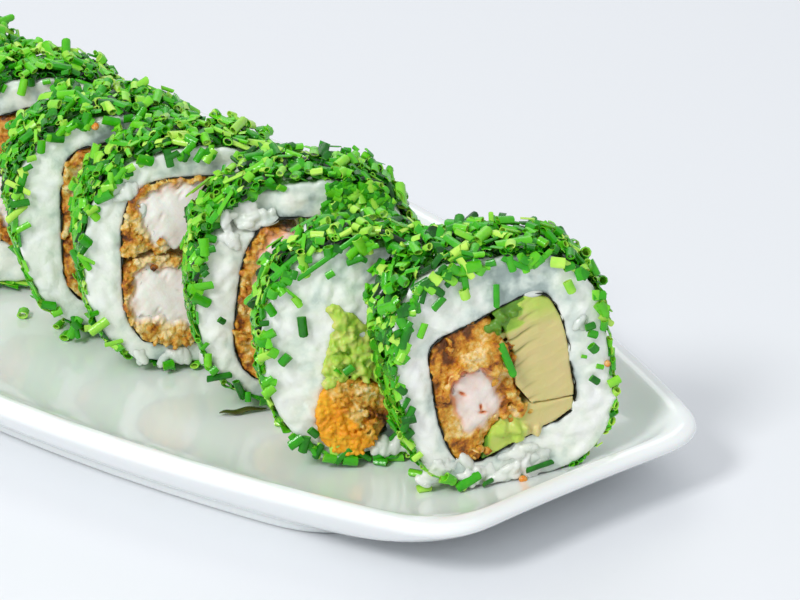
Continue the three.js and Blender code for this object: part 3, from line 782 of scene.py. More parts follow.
def make_nori(number, roll):
    random = np.random.default_rng(70 + number)
    angle = np.arange(NORI_SPOKES) * 2 * np.pi / NORI_SPOKES

    def waves(low, high, turns):
        return sum(random.uniform(low, high) * np.sin(k * angle + random.uniform(0, 6)) for k in turns)

    waver = waves(0.06, 0.15, (7, 13, 21, 34, 55))
    lift = waves(0.08, 0.2, (5, 9, 17, 29, 41, 63))
    outer = outline_of(roll["nori"], NORI_SPOKES, waver)
    inner = outline_of(roll["nori"], NORI_SPOKES, waver - NORI_THICKNESS)
    front = (-END_WALL - 0.5 if number == END_PIECE else -0.12) + lift
    back = -roll["reach"] + 0.3 - lift
    middle = (front + back) / 2
    rings = [at_depth(outer, front - 0.25), at_depth((outer + inner) / 2, front)]
    rings += [at_depth(inner, z) for z in (front - 0.25, middle, back)]
    rings += [at_depth(outer, z) for z in (back, middle)]
    piece = loft(f"nori_wrap_{number}", rings, hoop=True)
    modify(piece, "SUBSURF", levels=1, render_levels=1)
    piece.data.transform(standing(roll))
    return piece


def roasted_seaweed():
    """A thin dried sheet, nearly black, with a dull sheen on its blotches."""
    material, tree, shader = new_material("roasted_seaweed", Roughness=0.42, IOR=1.45)
    place = node(tree, "ShaderNodeTexCoord").outputs["Object"]
    blotch = node(tree, "ShaderNodeTexNoise", {"Vector": place, "Scale": per_mm(1.6), "Detail": 5.0})
    mix = node(tree, "ShaderNodeValToRGB", {"Fac": blotch.outputs["Fac"]},
               stops=[(0.3, "#0D100C"), (0.55, "#1B2018"), (0.75, "#2E3324")])
    tree.links.new(mix.outputs["Color"], shader.inputs["Base Color"])
    bump = node(tree, "ShaderNodeBump", {"Height": blotch.outputs["Fac"], "Strength": 0.5,
                                         "Distance": 0.0004})
    tree.links.new(bump.outputs["Normal"], shader.inputs["Normal"])
    return material


nori_finish = roasted_seaweed()
for number, roll in ROLLS.items():
    wear(make_nori(number, roll), nori_finish, "seaweed", f"nori_{number}")

# %% [markdown]
# **Bread crumbs** are dry and angular, and no two are alike. One rough lump is modelled, a ball whose
# points are pushed in and out, and its copies are turned and stretched each in its own way. They
# lie at random on the end of a bar, inside its outline and outside the meat that they leave bare.

# %% Crumbs
def crumb_template():
    piece = add(bpy.ops.mesh.primitive_ico_sphere_add, subdivisions=1, radius=1)
    random = np.random.default_rng(5)
    at = points_of(piece)
    return move_points(piece, at * random.uniform(0.65, 1.25, (len(at), 1)))


def crumb_places(outline, holes, depth, random, count, size):
    """Crumbs at random over the part of a face that is inside an outline and outside the holes."""
    places = []
    low, high = outline.min(axis=0), outline.max(axis=0)
    while len(places) < count:
        u, v = random.uniform(low, high)
        if not inside(outline, u, v)[0] or any(inside(hole, u, v)[0] for hole in holes):
            continue
        along = random.normal(0, 1, 3)
        scale = size * random.uniform(0.5, 1.3) * random.uniform(0.55, 1.2, 3)
        places.append(turned((u, v, depth + random.normal(0, 0.25)), along, random.uniform(0, 6), scale))
    return places


def face_outline(piece, z):
    """The outline of a bar where it is cut at one depth, as its points sorted round its middle."""
    at = points_of(piece)
    near = at[np.abs(at[:, 2] - z) < 1.2][:, :2]
    middle = near.mean(axis=0)
    turn = np.arctan2(near[:, 1] - middle[1], near[:, 0] - middle[0])
    rows = []
    for k in range(28):
        gap = np.abs((turn - (k * 2 * np.pi / 28 - np.pi) + np.pi) % (2 * np.pi) - np.pi)
        reach = np.hypot(*(near - middle).T) * (gap < 0.25)
        if reach.max() > 0:
            rows.append(near[reach.argmax()])
    return np.array(rows)


def depth_inside(outline, at):
    """How far each point lies inside an outline; negative outside it."""
    best = np.full(len(at), 1e9)
    for a, b in zip(outline, np.roll(outline, -1, axis=0)):
        along = b - a
        share = np.clip(((at - a) @ along) / (along @ along), 0, 1)
        best = np.minimum(best, np.hypot(*(at - a - share[:, None] * along).T))
    return np.where(inside(outline, at[:, 0], at[:, 1]), best, -best)


def swollen(piece, middle):
    """Presses a filling's copy out against the seaweed, as the wrap holds it."""
    at = points_of(piece)
    at[:, :2] = middle + (at[:, :2] - middle) * SWELL
    return move_points(piece, at)


crumb = crumb_template()
print("a crumb:", len(crumb.data.polygons), "faces")

# %% [markdown]
# **Fried prawn** is white meat in a crust of bread crumbs. The bar takes the CAD bar's form, so that
# form is copied and merged, crumbs are scattered over its ends and a voxel remesh bakes them on.
# Cloud displacement roughens them. Inside the meat's wavering outline the end is then pressed to a
# smooth dome with a few slits, and painted values tell the finish what is meat, rim and crust.

# %% Prawn shapes
MEAT = {
    "pair": [[(-10.1, 1.6), (-7.6, 2.9), (-4.6, 2.9), (-2.3, 1.2), (-1.1, -3.2), (-1.2, -6.7), (-3.6, -9.1),
              (-6.5, -10.1), (-8.5, -7.3), (-10.1, -2.9)]],
    "stack": [[(-12, -7.3), (-10.3, -1), (-6, -0.6), (0, -1.9), (4, -4), (4, -10), (0, -13), (-6, -11.8),
               (-10.6, -11.2)],
              [(-9.8, 11.8), (-8.8, 14.6), (-5, 16.2), (0.4, 16.6), (4, 14), (4, 8), (0, 4.6), (-4.5, 3.6),
               (-8.2, 6.4)]],
    "tall": [[(-9.8, 9.5), (-7.8, 14), (-4.5, 15.4), (-2.2, 15), (-1.6, 12.5), (-4.6, 9.1), (-7.6, 4.5),
              (-9.9, 3.2)]],
}
CUTS = {1: "pair", 3: "tall", 4: "stack", 5: "tall", 6: "pair", 7: "stack", 8: "pair"}
# where crumbs have fallen between the fillings
STRAY_CRUMBS = {1: [(2.4, 16.4), (1.5, 18.6), (0.9, 21), (0.5, 23.6), (0.1, 26.2), (-0.4, 28.8), (3.4, 15.4),
                    (0.6, 14.8)],
                2: [(-6.5, 15.6), (2.6, 12.8), (1.6, 15.2), (-1.5, 15.8)]}
BLUSH = {1: 0.9, 3: 0.6}  # how orange the meat's rim is; 0.35 in the others
PALER = {1: -0.08, 3: 0.08, 4: 0.22, 5: 0.14}  # how much lighter the crust is on each roll
CRUMB_VOXEL = (0.3, 0.38)  # near, far
SWELL = 1.045  # how far the wrap presses a filling out
FLAKES = 12  # large flat crumbs on the end of a bar
PINCH = 9  # crumbs that fell at each of the places above


def bake_crumbs(piece, name, number, roll, holes, random):
    """Scatters crumbs over both ends, fuses them to the bar and roughens it all over."""
    parts, front = [piece], points_of(piece)[:, 2].max()
    faces = [(front - 0.35, 210, 0.85), (-roll["reach"] + 0.7, 90, 0.85)]
    if number == END_PIECE:
        faces[0] = (front - 0.2, 420, 0.5)
    for depth, count, size in faces:
        places = crumb_places(face_outline(piece, depth), holes, depth, random, count, size)
        parts.append(scatter("crumbs", crumb, places))
    for u, v in STRAY_CRUMBS.get(number, []):
        for _ in range(PINCH):
            place = (u + random.normal(0, 0.7), v + random.normal(0, 0.9), random.uniform(-1.3, 0.2))
            along, scale = random.normal(0, 1, 3), random.uniform(0.45, 1.1, 3)
            parts.append(scatter("crumbs", crumb, [turned(place, along, 0, scale)]))
    piece = forget(join(parts, f"fried_{name}"), "shade")
    modify(piece, "REMESH", mode="VOXEL", voxel_size=CRUMB_VOXEL[number > NEAR_ROLLS])
    texture = bpy.data.textures.new("crumb_relief", "CLOUDS")
    texture.noise_scale = 0.75
    texture.noise_depth = 3
    return modify(piece, "DISPLACE", texture=texture, strength=1.0, mid_level=0.45)


def slits_in(u, v, outline, number, random):
    """Three short slits round the middle of the meat: 1 in a slit and 0 away from it."""
    slit = np.zeros(len(u))
    for du, dv, angle in random.uniform((-3.4, -4.5, 0), (3.4, 4.5, 3), (3, 3)):
        du, dv = u - outline[:, 0].mean() - du, v - outline[:, 1].mean() - dv
        along = du * math.cos(angle) + dv * math.sin(angle)
        over = dv * math.cos(angle) - du * math.sin(angle)
        slit = np.maximum(slit, np.exp(-(along / 0.9) ** 2 - (over / 0.32) ** 2))
    return slit * (1 if number in BLUSH else 0.35)


def shape_meat(u, v, z, number, roll, outline, random):
    """Presses both ends of the meat to domes. Also tells what is meat, and how orange its rim is."""
    back = -roll["reach"]
    waver = np.sin(1.9 * u + 0.7 * v) + np.sin(1.3 * v - 0.9 * u + 2) + 0.3 * np.sin(3.7 * u - 2.9 * v)
    deep = depth_inside(outline, np.column_stack([u, v])) + 0.4 * waver
    meat = np.clip((deep + 0.9) / 1.2, 0, 1)
    dome = 0.9 * (1 - np.exp(-np.maximum(deep, 0) / 1.8)) + 0.08 * np.sin(1.1 * u + 0.8 * v)
    slit = slits_in(u, v, outline, number, random)
    z = np.where(z > -1.6, z + (dome - 0.25 - 0.8 * slit - z) * meat, z)
    z = np.where(z < back + 1.6, z + (back + 0.5 - dome - z) * meat, z)
    towards = 0.2 - (u - outline[:, 0].mean()) * 0.06 + (v - outline[:, 1].mean()) * 0.06
    rim = np.exp(-(deep / 0.8) ** 2) * (0.08 + 0.9 * np.clip(towards, 0, 1)) * BLUSH.get(number, 0.35)
    rim = rim + 0.85 * slit ** 2 + (0.1 if number in BLUSH else 0)
    return z, meat, np.clip(rim, 0, 1)


def make_prawn(name, number, roll, outline):
    """One bar of prawn: crumbs baked on to a copy of the solid, and meat where its outline is."""
    random = np.random.default_rng(90 + number + 10 * name.count("top"))
    piece = swollen(copy_of(name, name, standing(roll)), np.array(roll["nori"][:2]))
    holes = [] if outline is None else [outline.mean(axis=0) + (outline - outline.mean(axis=0)) * 0.94]
    bake_crumbs(piece, name, number, roll, holes, random)
    u, v, z = points_of(piece).T
    meat, edge = np.zeros(len(u)), np.zeros(len(u))
    if outline is not None:
        z, meat, edge = shape_meat(u, v, z, number, roll, outline, random)
    elif number == END_PIECE:
        edge = np.clip(0.9 - (u + 4) / 5 - (v - 9) / 7 + 0.2 * np.sin(2.1 * u + 1.7 * v), 0, 1)
    move_points(piece, np.column_stack([u, v, z]))
    paint(piece, "meat", meat)
    paint(piece, "edge", edge)
    deep_in = np.clip((room_inside(roll["nori"], u, v) - 0.5) / 4, 0, 1)
    paint(piece, "depth", deep_in + 4 * PALER.get(number, 0))
    if number != END_PIECE:
        flakes = crumb_places(face_outline(piece, -1.0), holes, 0.1, random, FLAKES, 1.15)
        thin = [place @ Matrix.Diagonal((1.2, 1.0, 0.4, 1)) for place in flakes]
        shades = random.uniform(0.1, 0.8, len(thin))
        piece = join([piece, scatter("flakes", crumb, thin, shades)], piece.name)
    piece.data.transform(standing(roll))
    return piece


def prawn_bars():
    """Each bar of prawn with its node's name and its roll's number."""
    bars = []
    for number, roll in ROLLS.items():
        nodes = [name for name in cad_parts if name.startswith("prawn") and name.endswith(f"_{number}")]
        outlines = [smooth_outline(np.array(shape) + roll["nori"][:2], 32)
                    for shape in MEAT.get(CUTS.get(number), [])]
        for part, name in enumerate(sorted(nodes)):
            outline = outlines[part] if part < len(outlines) else None
            bars.append((name, make_prawn(name, number, roll, outline)))
    return bars


bars = prawn_bars()
print("bars of prawn:", len(bars))

# %% [markdown]
# **Deep-fried crumb** is dark where it lay in the hot oil longest and golden inside. The painted
# depth, a coarse noise and a shade for every crumb choose a place on one ramp from brown to straw.
# The meat is nearly white and turns orange at its rim, where the prawn's own colour boils out, and
# it is wetter than the crust, so it is smoother and shines more.

# %% Prawn finish
def fried_prawn():
    """A dry, broken, matt crust round moist meat that lets a little light in."""
    material, tree, shader = new_material("fried_prawn", IOR=1.45, Subsurface_Weight=0.35,
                                          Subsurface_Scale=0.0011)
    place = node(tree, "ShaderNodeTexCoord").outputs["Object"]
    meat, edge, depth, flake = (node(tree, "ShaderNodeAttribute", attribute_name=name).outputs["Fac"]
                                for name in ("meat", "edge", "depth", "shade"))
    patch = node(tree, "ShaderNodeTexNoise",
                 {"Vector": place, "Scale": per_mm(3.6), "Detail": 5.0, "Roughness": 0.65})
    flecks = node(tree, "ShaderNodeTexVoronoi", {"Vector": place, "Scale": per_mm(1.3)})
    single = node(tree, "ShaderNodeSeparateColor", {"Color": flecks.outputs["Color"]})
    tone = node(tree, "ShaderNodeMapRange", {"Value": patch.outputs["Fac"], "From Min": 0.32,
                                             "From Max": 0.66, "To Min": -0.3, "To Max": 0.8})
    for value, weight in ((depth, 0.26), (single.outputs[0], 0.2), (flake, 0.7)):
        tone = node(tree, "ShaderNodeMath", {0: value, 1: weight, 2: tone.outputs[0]},
                    operation="MULTIPLY_ADD")
    crust = node(tree, "ShaderNodeValToRGB", {"Fac": tone.outputs[0]},
                 stops=[(0.04, "#48240A"), (0.22, "#904E0E"), (0.42, "#C07A18"), (0.6, "#D39B32"),
                        (0.78, "#DFB962"), (0.98, "#EBD29C")])
    orange = node(tree, "ShaderNodeValToRGB", {"Fac": patch.outputs["Fac"]},
                  stops=[(0.3, "#DE7206"), (0.46, "#F2A20E"), (0.64, "#F8BC2A"), (0.78, "#FBD470")])
    browned = node(tree, "ShaderNodeMix", {0: edge, 6: crust.outputs["Color"], 7: orange.outputs["Color"]},
                   data_type="RGBA")
    blush = node(tree, "ShaderNodeMath", {0: edge, 1: 0.9, 2: 0.0}, operation="MULTIPLY_ADD")
    blush = node(tree, "ShaderNodeMath", {0: patch.outputs["Fac"], 1: 0.35, 2: blush.outputs[0]},
                 operation="MULTIPLY_ADD")
    flesh = node(tree, "ShaderNodeValToRGB", {"Fac": blush.outputs[0]},
                 stops=[(0.15, "#F6F1EC"), (0.29, "#EFDDD3"), (0.5, "#EAA982"), (0.78, "#DE6A2C"),
                        (1.1, "#8E2F12")])
    mix = node(tree, "ShaderNodeMix", {0: meat, 6: browned.outputs[2], 7: flesh.outputs["Color"]},
               data_type="RGBA")
    tree.links.new(mix.outputs[2], shader.inputs["Base Color"])
    rough = node(tree, "ShaderNodeMath", {0: meat, 1: -0.26, 2: 0.48}, operation="MULTIPLY_ADD")
    tree.links.new(rough.outputs[0], shader.inputs["Roughness"])
    fine = node(tree, "ShaderNodeTexNoise", {"Vector": place, "Scale": per_mm(0.6), "Detail": 4.0})
    crisp = node(tree, "ShaderNodeMath", {0: meat, 1: -0.8, 2: 1.0}, operation="MULTIPLY_ADD")
    relief = node(tree, "ShaderNodeMath", {0: fine.outputs["Fac"], 1: crisp.outputs[0]}, operation="MULTIPLY")
    bump = node(tree, "ShaderNodeBump", {"Height": relief.outputs[0], "Strength": 0.6, "Distance": 0.0004})
    tree.links.new(bump.outputs["Normal"], shader.inputs["Normal"])
    return material


prawn_finish = fried_prawn()
for name, piece in bars:
    wear(piece, prawn_finish, "fried_prawn", name)

# %% [markdown]
# ** Avocado** is cut with a knife that drags: its faces are nearly flat, with shallow slanting scores
# where the blade stuck, dark because they are in shade. The copied CAD bars are remeshed finely,
# softened, and scored by moving their points, and that shade is painted into the scores' colour.
# The flesh is greenest next to the skin and beige by the stone. The ripe parts squash to lumps:
# blobs are merged to one mass by the same remesh.

# %% Avocado shapes
FLESH_VOXEL = (0.28, 0.42)  # the first two rolls, the rest
SCORE_PITCH = 2.7
SCORE_ANGLE = math.radians(23)

# the first roll's squashed slice and the flap of skin side: [u, v, z, radius, flatness]
LUMPS = {
    "slice_1": [(-1.0, 11.6, -0.5, 2.1, 0.8), (1.6, 12.4, -0.3, 2.0, 0.8), (4.0, 11.2, -0.5, 2.0, 0.8),
                (2.4, 9.9, -0.8, 1.8, 0.8), (-3.0, 10.0, -0.9, 1.3, 0.8), (6.2, 10.8, -0.8, 1.6, 0.8)],
    "avocado_1": [(-3.6, 33.0, -0.4, 1.3, 0.7), (-2.2, 34.0, -0.1, 1.5, 0.7), (-0.6, 35.2, 0.0, 1.5, 0.7),
                  (1.2, 36.0, 0.0, 1.4, 0.7), (2.6, 36.6, -0.2, 1.0, 0.7), (-1.6, 32.4, -0.5, 1.1, 0.7),
                  (-0.9, 30.9, -0.9, 1.1, 0.7), (-0.4, 29.4, -1.1, 0.9, 0.7)],
}
# the end piece's smear of ripe flesh, from the tail up over the rice
SMEAR = [(-6.6, 32.4), (-6.2, 31), (-5.4, 29.2), (-4.6, 27.6), (-6.6, 26.2), (-5.2, 25.6), (-3.4, 25.4),
         (-1.8, 24.4), (-6.9, 23.6), (-4.6, 23), (-2.4, 22.6), (-0.2, 22.2), (1.6, 20.6), (2.8, 18.6),
         (-7.4, 20.6), (-5.4, 20), (-3, 19.6), (-0.8, 19), (1.2, 18), (3.4, 16.2), (-6.8, 18), (-3.6, 17)]


def blob_places(lumps, random):
    places = []
    for u, v, z, radius, flat in lumps:
        size = radius * random.uniform(0.85, 1.15, 3) * (1, 1, flat)
        places.append(turned((u, v, z), random.normal(0, 1, 3) * (1, 1, 0.2), random.uniform(0, 6), size))
    return places


def flesh_lumps(node_name, number, random):
    """The lumps of squashed flesh on one bar; the end piece's follow its smear."""
    lumps = list(LUMPS.get(node_name, []))
    if node_name == "avocado_2":
        for u, v in SMEAR:
            sink = float(face_depth(number, u, v))
            for _ in range(5):
                du, dv, dz = random.normal(0, (0.8, 0.8, 0.4))
                lumps.append((u + du, v + dv, dz + 0.3 - sink, random.uniform(0.7, 1.6), 0.8))
    return lumps


def soften(piece, number):
    """Fuses the lumps to the bar and rounds its edges; the end piece's flesh is mashed as well."""
    modify(piece, "REMESH", mode="VOXEL", voxel_size=FLESH_VOXEL[number > END_PIECE])
    if number == END_PIECE:
        texture = bpy.data.textures.new("squashed", "CLOUDS")
        texture.noise_scale = 2.0
        modify(piece, "DISPLACE", texture=texture, strength=1.6, mid_level=0.5)
    return modify(piece, "SMOOTH", factor=0.5, iterations=2)


def knife_marks(u, v, middle):
    """The blade's marks on a face: how far along its pitch each place is, and how deeply scored, which also
    sets the painted shade in the score.
    """
    across = (v - middle[1]) * math.cos(SCORE_ANGLE) - (u - middle[0]) * math.sin(SCORE_ANGLE)
    saw = (across / SCORE_PITCH + 0.1 * np.sin(u * 0.9)) % 1
    fade = np.clip((middle[0] + 7.5 - u) / 4, 0, 1) * (0.55 + 0.45 * np.sin(across * 1.9 + 1))
    return saw, np.exp(-((saw - 0.5) / 0.09) ** 2) * fade


def skin_flap(u, v):
    """The dark green flap of skin side on the first roll's bar: 1 on it, 0 off it."""
    ragged = 0.5 * np.sin(2.3 * v) + 0.3 * np.sin(4.1 * v + 1)
    return np.clip((3.4 + ragged - u) / 0.7, 0, 1) * np.clip((v - 0.3 * u - 31.6) / 0.8, 0, 1)


def greenness(node_name, number, u, v, middle, flap):
    """From 0, the beige by the stone, to 1, the green under the skin."""
    if number == END_PIECE:
        return 0.5 + 0.16 * np.sin(0.9 * u + 1.4 * v) * np.sin(1.6 * u - 0.8 * v)
    if node_name == "slice_1":
        return np.clip((5.5 - u) / 2.5, 0, 1) * 0.45 + np.clip((-2.6 - u) / 1, 0, 1) * 0.4
    green = np.clip((v - middle[1] - 9) / 5, 0, 1) * 0.4 + np.clip((4 - (u - middle[0])) / 7, 0, 1) * 0.25
    return np.maximum(green, flap * (0.86 + 0.05 * (v - 34) - 0.05 * (u + 1)))


def make_avocado(node_name):
    """One bar or slice of avocado, with its lumps, its knife marks and its painted greens."""
    number = int(node_name[-1])
    roll = ROLLS[number]
    random = np.random.default_rng(130 + number)
    middle = np.array(roll["nori"][:2])
    piece = swollen(copy_of(node_name, f"flesh_{node_name}", standing(roll)), middle)
    lumps = flesh_lumps(node_name, number, random)
    if lumps:
        places = blob_places(lumps, random)
        piece = join([piece, scatter("lumps", crumb, places)], piece.name)
        forget(piece, "shade")
    soften(piece, number)
    u, v, z = points_of(piece).T
    saw, score_and_shade = knife_marks(u, v, middle)
    flat = 0.0 if node_name in ("slice_1", "avocado_2") else 1.0
    flap = skin_flap(u, v) if node_name == "avocado_1" else 0.0
    ridge = flat * (0.12 * (saw ** 3 - 0.25) - 0.4 * score_and_shade)
    front = np.clip((z + 1.0) / 0.8, 0, 1)
    back = np.clip((-roll["reach"] + 1.2 - z) / 0.8, 0, 1)
    z = z + ridge * (front - back) - flap * ridge * front
    move_points(piece, np.column_stack([u, v, z]))
    paint(piece, "green", greenness(node_name, number, u, v, middle, flap))
    # painted shade: the scores' mask, which darkens their colour
    paint(piece, "score_and_shade", flat * score_and_shade * (1 - flap) * front)
    piece.data.transform(standing(roll))
    return piece


flesh = {name: make_avocado(name) for name in sorted(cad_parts)
         if name.startswith(("avocado", "slice"))}
print("pieces of avocado:", len(flesh))

# %% [markdown]
# ** Ripe avocado** is soft and oily, so light goes in a little and the cut shines dully. One ramp runs
# from the beige by the stone over yellow-green to the dark green under the skin, and the painted
# values choose the place on it, with a noise that breaks up the borders. The knife scores are
# painted olive, for the shade in them.

# %% Avocado finish
def ripe_avocado():
    """Buttery flesh: a soft sheen over a slow change of yellow and green."""
    material, tree, shader = new_material("ripe_avocado", Roughness=0.36, IOR=1.45, Subsurface_Weight=0.35,
                                          Subsurface_Scale=0.0012)
    place = node(tree, "ShaderNodeTexCoord").outputs["Object"]
    green = node(tree, "ShaderNodeAttribute", attribute_name="green").outputs["Fac"]
    score_and_shade = node(tree, "ShaderNodeAttribute", attribute_name="score_and_shade").outputs["Fac"]
    patch = node(tree, "ShaderNodeTexNoise", {"Vector": place, "Scale": per_mm(3.5), "Detail": 5.0})
    tone = node(tree, "ShaderNodeMath", {0: patch.outputs["Fac"], 1: 0.5, 2: green}, operation="MULTIPLY_ADD")
    mix = node(tree, "ShaderNodeValToRGB", {"Fac": tone.outputs[0]},
               stops=[(0.17, "#DBC98C"), (0.37, "#D5CA84"), (0.58, "#CBD270"), (0.8, "#B4D44E"),
                      (1.05, "#8CB836"), (1.3, "#5F9026")])
    # painted shade: olive in the knife scores, which lie in shade
    shaded = node(tree, "ShaderNodeMix", {0: score_and_shade, 6: mix.outputs["Color"], 7: colour("#93903F")},
                  data_type="RGBA")
    tree.links.new(shaded.outputs[2], shader.inputs["Base Color"])
    fine = node(tree, "ShaderNodeTexNoise", {"Vector": place, "Scale": per_mm(0.8), "Detail": 3.0})
    bump = node(tree, "ShaderNodeBump", {"Height": fine.outputs["Fac"], "Strength": 0.3, "Distance": 0.0003})
    tree.links.new(bump.outputs["Normal"], shader.inputs["Normal"])
    return material


avocado_finish = ripe_avocado()
for name, piece in flesh.items():
    wear(piece, avocado_finish, "avocado", name)

# %% [markdown]
# ** Chopped chives** are hollow leaves, two millimetres across, cut into lengths of one to eight. Two
# are modelled, an open tube with a thin wall and one that has split to a gutter. Hundreds of copies
# are laid on each roll in every direction, one over the other, some squashed flat. Each copy carries
# its own shade of green, and the low ones are painted darker for the shade deep in the pile.

# %% Cut lengths of chive
CHIVE_DIAMETER = 2.1
CHIVES_ON_A_ROLL = 1250
SPLIT_SHARE = 0.3  # of the lengths on a roll


def chive_template():
    """A cut length along X, one millimetre long and one across, open at both ends."""
    piece = add(bpy.ops.mesh.primitive_cylinder_add, vertices=8, radius=0.5, depth=1,
                end_fill_type="NOTHING", rotation=(0, math.pi / 2, 0))
    bpy.ops.object.transform_apply(location=False, rotation=True, scale=False)
    modify(piece, "SOLIDIFY", thickness=0.12, offset=-1, use_rim=True)
    at = points_of(piece)
    slant = at[:, 0] + 0.12 * at[:, 2] * np.sign(at[:, 0])
    move_points(piece, np.column_stack([slant, at[:, 1], at[:, 2]]))
    return paint(piece, "inner", np.hypot(at[:, 1], at[:, 2]) < 0.44)


def split_template():
    """A length that has split open: a shallow gutter of leaf."""
    piece = add(bpy.ops.mesh.primitive_grid_add, x_subdivisions=1, y_subdivisions=3, size=1)
    at = points_of(piece)
    turn = at[:, 1] * 2.2
    move_points(piece, np.column_stack([at[:, 0] + 0.15 * at[:, 1], 0.5 * np.sin(turn), 0.35 * np.cos(turn)]))
    modify(piece, "SOLIDIFY", thickness=0.14, offset=-1, use_rim=True)
    at = points_of(piece)
    return paint(piece, "inner", at[:, 2] < 0.35 * np.cos(np.arcsin(np.clip(2 * at[:, 1], -1, 1))) - 0.06)


whole_length, split_length = chive_template(), split_template()
print("faces of a length:", [len(length.data.polygons) for length in (whole_length, split_length)])

# %% [markdown]
# The coat is thickest on top, where the chives were sprinkled, and thin underneath, where the roll
# was pressed in what had fallen. Each length lies close to the rice at a random turn. Over the edge
# of a cut face a few spill, and the ones that catch the eye on the near faces are listed one by one.

# %% Where the chives lie
CHIVE_GAP = 0.1  # between the lowest of them and the glaze
# single pieces on a face: [u, v, u, v of the other end, width]
FACE_PIECES = {
    1: [(-2.3, 42.6, -2.3, 38.3, 1.2), (-1.8, 30.9, 0.8, 24.3, 1.5), (-8.6, 45.1, -8.2, 42.4, 1.3),
        (-8.9, 42.6, -8.3, 40.8, 1.9), (15.2, 31.5, 17, 31.9, 1.6), (15.9, 30.4, 17.4, 29.8, 1.7),
        (16.3, 27.8, 17.3, 26.6, 1.9), (17.6, 23.2, 18.9, 22.8, 1.1), (16.5, 21, 17.9, 19.9, 1.5),
        (14.6, 25.6, 15.6, 25.3, 0.8), (17.8, 36.5, 19.2, 33.8, 1.7), (11.4, 41.6, 12.4, 39.4, 1.8),
        (-14.6, 39.4, -12.6, 41.4, 1.6), (-17.2, 34, -16.2, 36.6, 1.5), (4, 3.2, 9, 4.4, 1.2)],
    2: [(-13.5, 40.5, -2.5, 48.2, 1.2), (-8.6, 40.4, -7.2, 41.2, 1.6), (-4.6, 42.8, -1.8, 43.8, 1.6),
        (-14.8, 36.4, -13.6, 34.6, 1.4),
        (-13.4, 32.4, -13, 28.6, 1.8), (-19.6, 25.9, -18.2, 25, 2.2), (-17.3, 23, -15.8, 24.6, 2.0),
        (-17.3, 39.1, -13.5, 35.4, 0.7), (-5.2, 20.2, -3.6, 21.4, 1.7), (-7.2, 21, -6, 19.4, 1.2),
        (-15.8, 5.6, -13.4, 7.2, 2.1), (-13.4, 4.4, -12.6, 7.4, 2.0), (-12, 8.8, -10.6, 7.4, 1.7),
        (-9.4, 2.8, -7.2, 2.2, 2.0), (-5.6, 1.9, -3, 1.5, 2.1), (0.4, 1.4, 3.2, 2.4, 1.9),
        (3.4, 0.6, 6.2, 0.9, 1.8), (2.6, 3.4, 5, 5.8, 1.6), (5.4, 2.4, 7.6, 3.8, 1.7),
        (-3, 43.9, -1, 42.8, 1.2)],
    3: [(-16.4, 21, -15.4, 20.2, 1.4), (-19.4, 30.4, -18.4, 31.2, 1.3), (-9.6, 43.6, -8.8, 44.6, 1.6)],
}
# roll: [lengths, from angle, to angle, how far in from the edge]
SPILLS = {
    1: [(46, 102, 166, 2.6), (18, 35, 100, 1.0), (5, -20, 35, 0.8), (12, 175, 262, 0.9)],
    2: [(24, 100, 200, 1.0), (26, 60, 100, 1.2), (16, 235, 300, 1.0)],
    3: [(36, 100, 180, 1.0), (150, 48, 78, 8.5), (8, 200, 260, 0.9)],
    4: [(34, 60, 180, 1.2), (6, 200, 260, 0.9)], 5: [(34, 60, 180, 1.2), (6, 200, 260, 0.9)],
    6: [(30, 60, 180, 1.2)], 7: [(30, 60, 180, 1.2)], 8: [(30, 60, 180, 1.2)],
}


def lying(place, along, out, roll_over, size):
    """A matrix with its length along one direction and its thickness towards another."""
    x = Vector(along).normalized()
    y = Vector(out).cross(x).normalized()
    axes = Matrix((x, y, x.cross(y))).transposed().to_4x4()
    turn = axes @ Matrix.Rotation(roll_over, 4, "X")
    return Matrix.Translation(place) @ turn @ Matrix.Diagonal((*size, 1))


def chive_places(roll, random, count):
    """Lengths at random round the outside, piled deeper on top, each with how high it lies, which sets its
    painted shade.
    """
    places, layers = [], []
    matrix = standing(roll)
    reach = roll["reach"]
    top = (cad_high[2] / MM) - PLATE_FLOOR
    while len(places) < count:
        turn = random.uniform(0, 2 * np.pi)
        above = max(0, math.sin(turn))
        length = min(0.9 + random.gamma(1.8, 0.85), 8)
        across = CHIVE_DIAMETER * random.triangular(0.35, 0.85, 1.2)
        thick = across * random.uniform(0.4, 1.0) * (0.65 + 0.35 * above)
        swing = random.uniform(0, np.pi)
        half = abs(math.sin(swing)) * length / 2
        z = random.uniform(-reach - 0.3 + half, 0.45 - half)
        layer = random.uniform(0, 1) ** 1.3
        radius = radius_of(roll["rice"], turn) - 0.45 + thick / 2 + (0.15 + 2.0 * above) * layer
        u, v = from_middle(roll["rice"], radius, turn)
        tilt = random.normal(0, 0.1 + 0.2 * above)
        along = np.array([-math.sin(turn), math.cos(turn), 0]) * math.cos(swing)
        along += np.array([0, 0, 1]) * math.sin(swing) + np.array([math.cos(turn), math.sin(turn), 0]) * tilt
        along /= np.linalg.norm(along)
        world = matrix @ Vector((u, v, z))
        stand = abs(along[1]) * length / 2 + across / 2
        sunk = well_height(world.x / MM, world.y / MM) + CHIVE_GAP - (v + PLATE_FLOOR - stand)
        v += max(0, sunk)
        v -= max(0, v + stand - top + 0.05)
        if sunk > 4:
            continue
        out = Vector((math.cos(turn), math.sin(turn), 0))
        places.append(lying((u, v, z), along, out, random.normal(0, 0.35), (length, across, thick)))
        # how high each length lies, for its painted shade; off the top every length gets the middle value
        layers.append(layer if above > 0.25 else 0.6)
    return places, np.array(layers)


